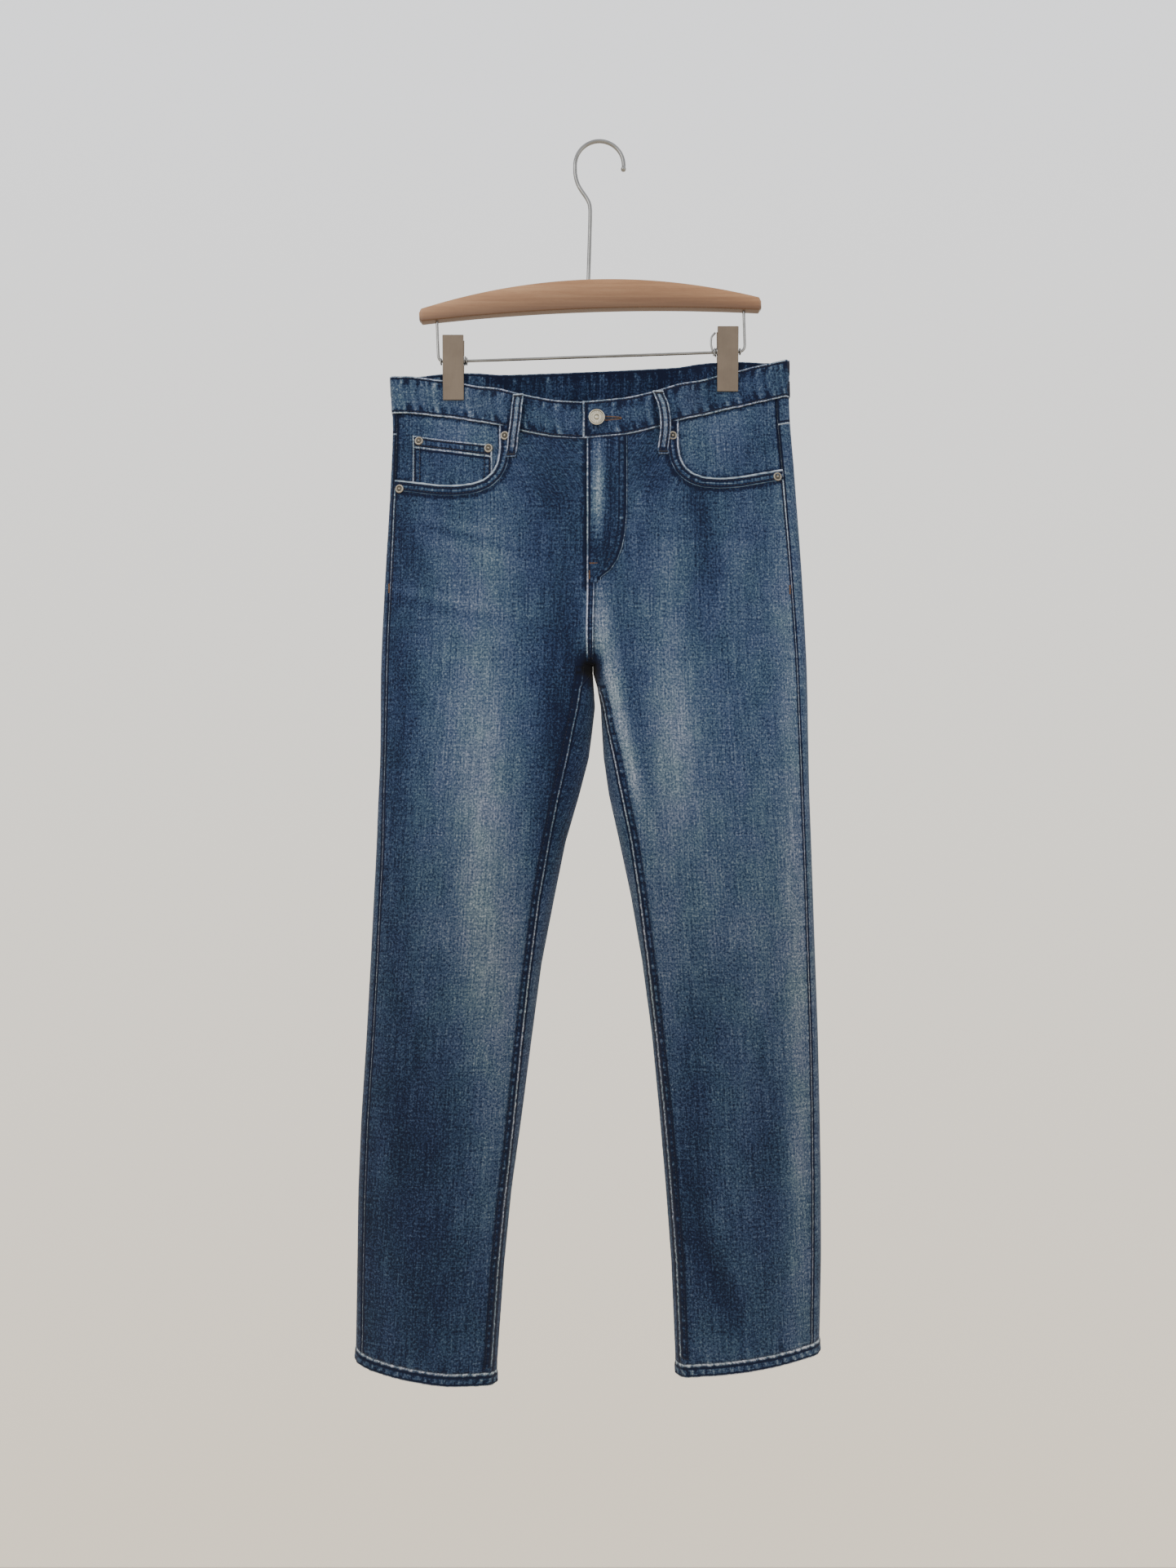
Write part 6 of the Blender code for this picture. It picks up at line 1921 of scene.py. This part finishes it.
def tube(name: str, path: Array, radius: Array | float, across: Array, finish: Material, sides: int) -> Piece:
    """A round wire along a path.

    Args:
        name: The piece's name.
        path: Points along its middle, in metres.
        radius: Radius at each point, in metres.
        across: A direction at each point that the path never runs along.
        finish: Its finish.
        sides: Sides of its section.

    Returns:
        The piece.
    """
    run = direction(np.gradient(path, axis=0))
    first = direction(np.cross(run, np.broadcast_to(across, path.shape)))
    wheel = wheels(sides, first, np.cross(run, first))
    rings = path[:, None] + wheel * np.broadcast_to(radius, len(path))[:, None, None]
    return ring_mesh(name, rings, finish)


def lathe(name: str, profile: Array, steps: int, centre: Array, axis: Array, finish: Material,
          dots: tuple[float, float, int] | None = None, shade_rings: tuple[Row, ...] = ()) -> Piece:
    """A turned piece.

    Args:
        name: The piece's name.
        profile: Radius and height of its points, in millimetres.
        steps: Points round each ring.
        centre: A point of its axis, in metres.
        axis: Its axis.
        finish: Its finish.
        dots: Radius of a ring of small raised dots, its width and their number.
        shade_rings: Radius, half width and strength of the rings of painted shade in the hollows of its face.

    Returns:
        The piece.
    """
    axis = direction(axis)
    first = direction(np.cross(axis, Z_AXIS))
    second = np.cross(axis, first)
    angle = np.arange(steps) * 2.0 * math.pi / steps
    wheel = np.cos(angle)[:, None] * first + np.sin(angle)[:, None] * second
    height = profile[:, 1:] + np.zeros(steps)
    if dots:
        radius, width, count = dots
        raised = bell(profile[:, :1] - radius, width) * (profile[:, 1:] > 4.0)
        height = height + 0.16 * raised * np.cos(angle * count)
    rings = centre + (profile[:, :1, None] * wheel[None] + height[..., None] * axis) * MM
    piece = ring_mesh(name, rings, finish)
    # Painted shade in the rings of the face's hollows and between the raised dots
    if shade_rings:
        dark = sum(k * np.exp(-(((profile[:, :1] - r) / wide) ** 4)) for r, wide, k in shade_rings)
        dark = dark + np.zeros(steps)
        if dots:
            dark = dark + 0.75 * raised * (0.5 - 0.5 * np.cos(angle * count))
        values = np.zeros(len(piece.data.vertices))
        values[: dark.size] = np.clip(dark, 0.0, 1.0).ravel()
        paint(piece, "hollow", values)
    return piece


def smooth_profile(points: tuple[Row, ...], step: float) -> Array:
    """A profile of straight runs as close points with slightly rounded corners."""
    return soft_line(np.array(points, float), step, 1)


@dataclass
class Fasteners:
    """The shank button, the buttonhole's thread and the rivets.

    Attributes:
        form: The cloth's form.
        looks: The finishes.
        button_place: x and drop of the button.
        hole_drop: Drop of the buttonhole's middle line.
        button_profile: Radius and height along the button's section, in millimetres.
        rivet_profile: Radius and height along a rivet's section.
        rivet_places: Name, x, drop and depth under the panel's face of each rivet.
    """

    form: Form
    looks: Looks
    button_place: tuple[float, float] = (8.2, 63.5)
    hole_drop: float = 63.2
    button_profile: tuple[Row, ...] = (
        (0.15, 5.6), (1.2, 5.5), (1.9, 5.1), (2.3, 4.7), (2.8, 4.8), (3.3, 5.15), (6.3, 5.25), (6.8, 5.05),
        (7.3, 5.6), (7.9, 5.85), (8.5, 5.5), (8.6, 4.9), (8.1, 4.3), (5.5, 3.8), (3.2, 3.3), (2.9, 0.3),
        (0.15, 0.3),
    )
    rivet_profile: tuple[Row, ...] = (
        (0.12, 1.9), (0.9, 1.8), (1.3, 1.2), (1.6, 0.55), (2.4, 0.5), (2.9, 0.95), (3.3, 1.5), (4.1, 1.35),
        (4.8, 0.7), (4.9, 0.05), (0.12, 0.05),
    )
    rivet_places: tuple[tuple[str, float, float, float], ...] = (
        ("rivet_left_outer", -202.5, 126.5, 0.0),
        ("rivet_left_inner", -88.6, 77.5, 0.0),
        ("rivet_coin_outer", -182.0, 75.4, -1.5),
        ("rivet_coin_inner", -106.4, 89.3, -1.5),
        ("rivet_right_outer", 201.5, 124.5, 0.0),
        ("rivet_right_inner", 88.4, 82.0, 0.0),
    )

    def button(self) -> None:
        """The button: a dished face in a rolled rim over a short shank."""
        profile = smooth_profile(self.button_profile, 0.28)
        centre, normal = self.form.spot(*self.button_place, 0.8)
        # The two rings paint shade into the recess round the shank and inside the rolled rim
        piece = lathe("button_dressed", profile, 132, centre, normal, self.looks.pale, (5.2, 0.8, 22),
                      ((2.45, 0.5, 0.85), (7.0, 0.45, 0.8)))
        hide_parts("button")

    def rivets(self) -> None:
        """The rivets: a flat ring round a small nipple."""
        profile = smooth_profile(self.rivet_profile, 0.30)
        for name, x, drop, depth in self.rivet_places:
            centre, normal = self.form.spot(x, drop, depth + 0.6)
            # The ring paints shade into the hollow round the nipple
            piece = lathe(name + "_dressed", profile, 40, centre, normal, self.looks.rivet, None,
                          ((2.2, 0.75, 0.85),))
            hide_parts(name)

    def buttonhole(self, threads: Threads, slit: Threads) -> None:
        """The buttonhole: two rows of close stitches that meet in a point, with the dark cut between them."""
        x = np.arange(15.5, 34.5, 0.62)
        half = 1.9 * np.sqrt(np.clip((34.8 - x) / 14.0, 0.02, 1.0))
        for way in (-1.0, 1.0):
            near, far = (self.hole_drop + way * (half + edge) for edge in (-0.55, 0.65))
            threads.lay(pairs(x, near), pairs(x + 0.15, far), Face.FRONT, 0.95, 0.62)
        line = np.full(9, self.hole_drop)
        start, end = (pairs(np.arange(9) * 2.0 + x, line) for x in (14.0, 16.6))
        slit.lay(start, end, Face.FRONT, 0.75, 1.7)


@dataclass
class Hanger:
    """The wooden clip hanger: bar, hook, hanging wire and spring clips.

    Attributes:
        looks: The finishes.
        tilt: How far the bar hangs off level, in radians.
        bar_x: Middle of the bar, in millimetres like all that follow.
        bar_top: Top of the bar at its middle.
        half_length: Half the bar's length.
        height: Its height at its middle.
        top_fall: How far its top falls to an end.
        bottom_fall: How far its underside falls to an end.
        thickness: Its thickness.
        edge_radius: Radius of its long edges.
        hook_wire: Radius of the hook's wire.
        hook_radius: Radius of the hook's loop, to the wire's middle.
        ball_radius: Radius of the ball on its end.
        wire_radius: Radius of the hanging wire.
        spring_pitch: Distance between a spring's turns.
        spring_radius: Radius of its turns, to the wire's middle.
        spring_wire: Radius of its wire.
        lever_wire: Radius of the bent end beside the right clip.
        wire_x: Distance of its two drops from the bar's middle.
        wire_z: Height of its straight run, in the hanger's level frame.
        wire_bend: Radius of its bends.
        clip_x: Distance of the clips from their centre line.
        centre_x: x of that centre line.
    """

    looks: Looks
    tilt: float = math.radians(1.95)
    bar_x: float = -10.5
    bar_top: float = -149.0
    half_length: float = 184.0
    height: float = 31.5
    top_fall: float = 26.0
    bottom_fall: float = 7.7
    thickness: float = 12.5
    edge_radius: float = 1.4
    hook_wire: float = 2.15
    hook_radius: float = 26.3
    ball_radius: float = 2.9
    wire_radius: float = 1.5
    spring_pitch: float = 2.05
    spring_radius: float = 4.1
    spring_wire: float = 0.8
    lever_wire: float = 1.1
    wire_x: float = 165.4
    wire_z: float = -230.4
    wire_bend: float = 6.0
    clip_x: float = 147.4
    centre_x: float = -9.6

    def level(self, x: Array | float, y: Array | float, z: Array | float) -> Array:
        """Points of the hanger's level frame, turned by its tilt, in metres."""
        pivot = self.bar_top - self.height / 2
        c, s = math.cos(self.tilt), math.sin(self.tilt)
        up = z - pivot
        x, y, up = np.broadcast_arrays(x, y, up)
        return np.stack([self.bar_x + x * c - up * s, y, pivot + x * s + up * c], axis=-1) * MM

    def bar(self) -> None:
        """The bar: a loft of soft-cornered sections whose top curves down to rounded ends."""
        t = np.sin(np.linspace(-math.pi / 2, math.pi / 2, 121))
        x = t * self.half_length
        end = 2.2 * smooth_step(np.abs(x), self.half_length - 2.6, self.half_length)
        high = self.bar_top - self.top_fall * t * t - end
        low = self.bar_top - self.height - self.bottom_fall * t * t + end
        half = self.thickness / 2 - end
        r = self.edge_radius
        corners = [np.linspace(start, start + 90.0, 8) for start in (0.0, 90.0, 180.0, 270.0)]
        angle = np.radians(np.concatenate(corners))
        to_y, to_z = np.repeat(((1.0, -1.0, -1.0, 1.0), (1.0, 1.0, -1.0, -1.0)), 8, axis=1)
        y = (half[:, None] - r) * to_y + r * np.cos(angle)
        z = (high + low)[:, None] / 2 + ((high - low)[:, None] / 2 - r) * to_z + r * np.sin(angle)
        piece = ring_mesh("hanger_bar_dressed", self.level(x[:, None], y, z), self.looks.beech)
        # Painted shade along the bar's underside
        paint(piece, "hollow", 0.8 * (1.0 - smooth_step(z - low[:, None], 1.5, 2.2)))
        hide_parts("hanger_bar")

    def hook(self) -> None:
        """The hook: one wire up from the bar and round its open loop, with a ball on its end."""
        foot = self.level(-1.0, 0.0, self.bar_top - 2.0) / MM
        loop_z = -(self.hook_radius - self.hook_wire)
        angle = np.radians(np.linspace(182.0, -15.0, 90))
        arc = pairs(self.hook_radius * np.cos(angle), loop_z + self.hook_radius * np.sin(angle))
        stem = np.array((
            (foot[0], foot[2]), (-11.0, -120.0), (-10.0, -85.0), (-9.8, -72.0), (-10.6, -65.5),
            (-13.2, -60.0), (-17.5, -54.0), (-21.6, -48.0), (-24.6, -41.0), (-26.2, -33.0),
        ))
        flat = soft_line(np.concatenate([stem, arc]), 1.0, 10)
        path = np.stack([flat[:, 0], np.zeros(len(flat)), flat[:, 1]], axis=1) * MM
        left = np.arange(len(path))[::-1]
        ball = np.sqrt(np.maximum(self.ball_radius**2 - (left - self.ball_radius) ** 2, 0.0))
        radius = np.maximum(np.where(left < 3, 0.25, self.hook_wire), ball) * MM
        piece = tube("hook_dressed", path, radius, Y_AXIS, self.looks.steel, 20)
        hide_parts("hook")

    def wire(self) -> None:
        """The wire under the bar: two drops and a straight run that carries the clips."""
        under = self.bar_top - self.height - self.bottom_fall * (self.wire_x / self.half_length) ** 2 + 1.0
        b = self.wire_bend
        angle = np.radians(np.linspace(180.0, 270.0, 9))
        bend = pairs(-self.wire_x + b + b * np.cos(angle), self.wire_z + b + b * np.sin(angle))
        left = np.concatenate([[[-self.wire_x, under]], bend])
        line = soft_line(np.concatenate([left, left[::-1] * np.array((-1.0, 1.0))]), 1.5, 3)
        path = self.level(line[:, 0], 0.0, line[:, 1])
        piece = tube("hang_wire_dressed", path, self.wire_radius * MM, Y_AXIS, self.looks.steel, 14)
        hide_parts("hang_wire")

    def lever(self) -> None:
        """The bent end of the right clip's spring wire, beside its plates."""
        bends = ((124.6, -205.5), (120.4, -210.0), (119.9, -218.0), (121.5, -225.0), (125.0, -229.5))
        line = soft_line(np.array(bends), 0.8)
        path = np.stack([line[:, 0], np.full(len(line), -3.0), line[:, 1]], axis=1) * MM
        tube("clip_lever_right", path, self.lever_wire * MM, Y_AXIS, self.looks.steel, 12)

    def wire_height(self, x: float) -> float:
        """World height of the wire's middle under a world x, both in millimetres."""
        return float(self.level(x - self.bar_x, 0.0, self.wire_z)[2]) / MM

    def spring(self, side: Side) -> None:
        """The wound spring round the wire, between a clip's two plates."""
        centre = self.centre_x + side.value * self.clip_x
        along = np.array((math.cos(self.tilt), 0.0, math.sin(self.tilt)))
        reach = np.linspace(-8.5, 14.5, 420) if side is Side.LEFT else np.linspace(-14.5, 8.5, 420)
        angle = reach / self.spring_pitch * 2.0 * math.pi
        middle = np.array((centre, 0.0, self.wire_height(centre)))
        radial = np.cos(angle)[:, None] * Y_AXIS + np.sin(angle)[:, None] * np.cross(along, Y_AXIS)
        path = (middle + reach[:, None] * along + self.spring_radius * radial) * MM
        name = side.label
        piece = tube(f"clip_spring_{name}_coil", path, self.spring_wire * MM, along, self.looks.steel, 8)
        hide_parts(f"clip_spring_{name}")
        collar = smooth_profile(((1.55, -0.9), (3.4, -0.9), (3.8, 0.0), (3.4, 0.9), (1.55, 0.9)), 0.3)
        for place, at in (("inner", -14.2 * side.value), ("outer", 13.6 * side.value)):
            spot = (middle + along * at) * MM
            ring = lathe(f"clip_collar_{name}_{place}", collar, 36, spot, along, self.looks.steel)

    def dress_clips(self) -> None:
        """Gives the clips' plates their satin finish."""
        for part in ("front", "back"):
            for side in Side:
                plate = bpy.data.objects[f"clip_{part}_{side.label}"]
                for slot in plate.material_slots:
                    slot.material = self.looks.nickel

    def make(self) -> None:
        """Makes the whole hanger."""
        self.bar()
        self.hook()
        self.wire()
        self.lever()
        for side in Side:
            self.spring(side)
        self.dress_clips()


@dataclass
class Studio:
    """Pale floor, soft lights and the camera at the photo's place."""

    camera_place: Row = (-0.0123, -1.27, -0.6908)
    lens: float = 27.05
    floor_height: float = -2.0
    surround_colours: Stops = (
        (0.25, (0.82, 0.72, 0.58)), (0.50, (0.88, 0.84, 0.76)), (0.75, (0.95, 0.955, 0.975))
    )
    surround_strength: float = 1.04
    surround_seen: float = 1.50

    def world(self) -> None:
        """An even pale surround."""
        world = bpy.data.worlds.new("surround")
        world.use_nodes = True
        tree = world.node_tree
        shade = tree.nodes["Background"]
        seen = tree.nodes.new("ShaderNodeLightPath")
        strength = tree.nodes.new("ShaderNodeMapRange")
        for index, number in ((3, self.surround_strength), (4, self.surround_seen)):
            strength.inputs[index].default_value = number
        tree.links.new(seen.outputs["Is Camera Ray"], strength.inputs[0])
        tree.links.new(strength.outputs[0], shade.inputs["Strength"])
        place = tree.nodes.new("ShaderNodeTexCoord")
        split = tree.nodes.new("ShaderNodeSeparateXYZ")
        height = tree.nodes.new("ShaderNodeMapRange")
        for index, number in ((1, -1.0), (2, 1.0), (3, 0.0), (4, 1.0)):
            height.inputs[index].default_value = number
        ramp = tree.nodes.new("ShaderNodeValToRGB")
        ramp.color_ramp.elements.new(0.5)
        for element, (position, colour) in zip(ramp.color_ramp.elements, self.surround_colours):
            element.position = position
            element.color = (*colour, 1.0)
        tree.links.new(place.outputs["Generated"], split.inputs[0])
        tree.links.new(split.outputs["Z"], height.inputs[0])
        tree.links.new(height.outputs[0], ramp.inputs[0])
        tree.links.new(ramp.outputs[0], shade.inputs["Color"])
        bpy.context.scene.world = world

    def floor(self) -> None:
        """A plain pale floor below the picture."""
        points = np.array(((-1.7, -1.7, 0), (1.7, -1.7, 0), (1.7, 0.7, 0), (-1.7, 0.7, 0)), float)
        points[:, 2] = self.floor_height
        mesh = bpy.data.meshes.new("floor")
        mesh.from_pydata(points.tolist(), [], [(0, 1, 2, 3)])
        floor = bpy.data.objects.new("floor", mesh)
        mesh.materials.append(Shader("floor").dress(Base_Color=(0.80, 0.70, 0.57, 1.0), Roughness=0.8))
        bpy.context.scene.collection.objects.link(floor)

    def light(self, name: str, place: Row, target: Row, size: float, power: float, colour: Row) -> None:
        """Adds a soft square light that looks at a point."""
        lamp = bpy.data.lights.new(name, "AREA")
        lamp.size = size
        lamp.energy = power
        lamp.color = colour
        holder = bpy.data.objects.new(name, lamp)
        holder.location = place
        holder.rotation_euler = (Vector(target) - Vector(place)).to_track_quat("-Z", "Y").to_euler()
        bpy.context.scene.collection.objects.link(holder)

    def camera(self) -> None:
        """The camera: level, square to the garment."""
        lens = bpy.data.cameras.new("camera")
        lens.lens = self.lens
        lens.sensor_width = 36.0
        lens.clip_start = 0.05
        holder = bpy.data.objects.new("camera", lens)
        holder.location = self.camera_place
        holder.rotation_euler = (math.pi / 2, 0.0, 0.0)
        bpy.context.scene.collection.objects.link(holder)
        bpy.context.scene.camera = holder

    def make(self) -> None:
        """Makes the surround, the floor, the lights and the camera."""
        self.camera()
        self.world()
        self.floor()
        middle = (0.0, 0.0, -0.7)
        self.light("key", (-1.3, -1.9, 0.7), middle, 1.3, 14.0, (1.0, 0.985, 0.96))
        self.light("fill", (1.7, -1.6, -0.4), middle, 1.6, 4.5, (0.94, 0.97, 1.0))
        self.light("back", (0.6, 1.9, 0.5), middle, 1.6, 10.0, (1.0, 0.99, 0.97))


def main() -> None:
    """Builds every sub-assembly in order."""
    logging.basicConfig(level=logging.INFO, format="%(message)s")
    Studio().make()
    looks = Looks()
    form = Form(seams=sewn_lines(Form()))
    Hanger(looks).make()

    front_thread, back_thread, band_thread, hem_thread = (
        Threads(f"{region}_thread", form, looks.dark_thread) for region in ("front", "back", "band", "hem")
    )
    tack_thread = Threads("tack_thread", form, looks.brown_thread)

    band = Waistband(form, looks)
    band_piece, band_grid = band.make()
    band.stitch(band_thread)
    loops = BeltLoops(form, looks)
    loop_pieces = [loops.make(place) for place in loops.places]
    loops.stitch(band_thread)

    fronts = [FrontPanel(form, looks, side).make() for side in Side]
    backs = [BackPanel(form, looks, side).make() for side in Side]
    yokes = [BackPanel(form, looks, side).make_yoke() for side in Side]
    rings = [HemRing(form, looks, side) for side in Side]
    hems = [ring.make() for ring in rings]
    for ring in rings:
        ring.stitch(hem_thread)

    details = FrontDetails(form, looks)
    facings = [details.facing(side) for side in Side]
    coin = details.coin_pocket()
    edges = [details.pocket_edge(side) for side in Side]
    fly = details.fly()
    front_rise = details.rise()
    inseams = [details.inseam(side) for side in Side]
    details.stitch(front_thread)

    behind = BackDetails(form, looks)
    pockets = [behind.pocket(side) for side in Side]
    yoke_fells = [behind.yoke_seam(side) for side in Side]
    back_rise = behind.rise()
    behind.stitch(back_thread)

    fasteners = Fasteners(form, looks)
    fasteners.button()
    fasteners.rivets()
    fasteners.buttonhole(tack_thread, band_thread)
    for x, drop in ((-213.5, 233.0), (214.5, 246.0)):
        tack_thread.tack(x, drop, 0.3, 9.0, 2.0, 90.0)
    for x, drop, lean in ((5.0, 216.0, 0.0), (0.5, 228.0, 90.0)):
        tack_thread.tack(x, drop, 1.3, 8.0, 2.0, lean)

    threads = [t.make() for t in (front_thread, back_thread, band_thread, hem_thread, tack_thread)]

    bpy.context.view_layer.update()


if __name__ == "__main__":
    main()
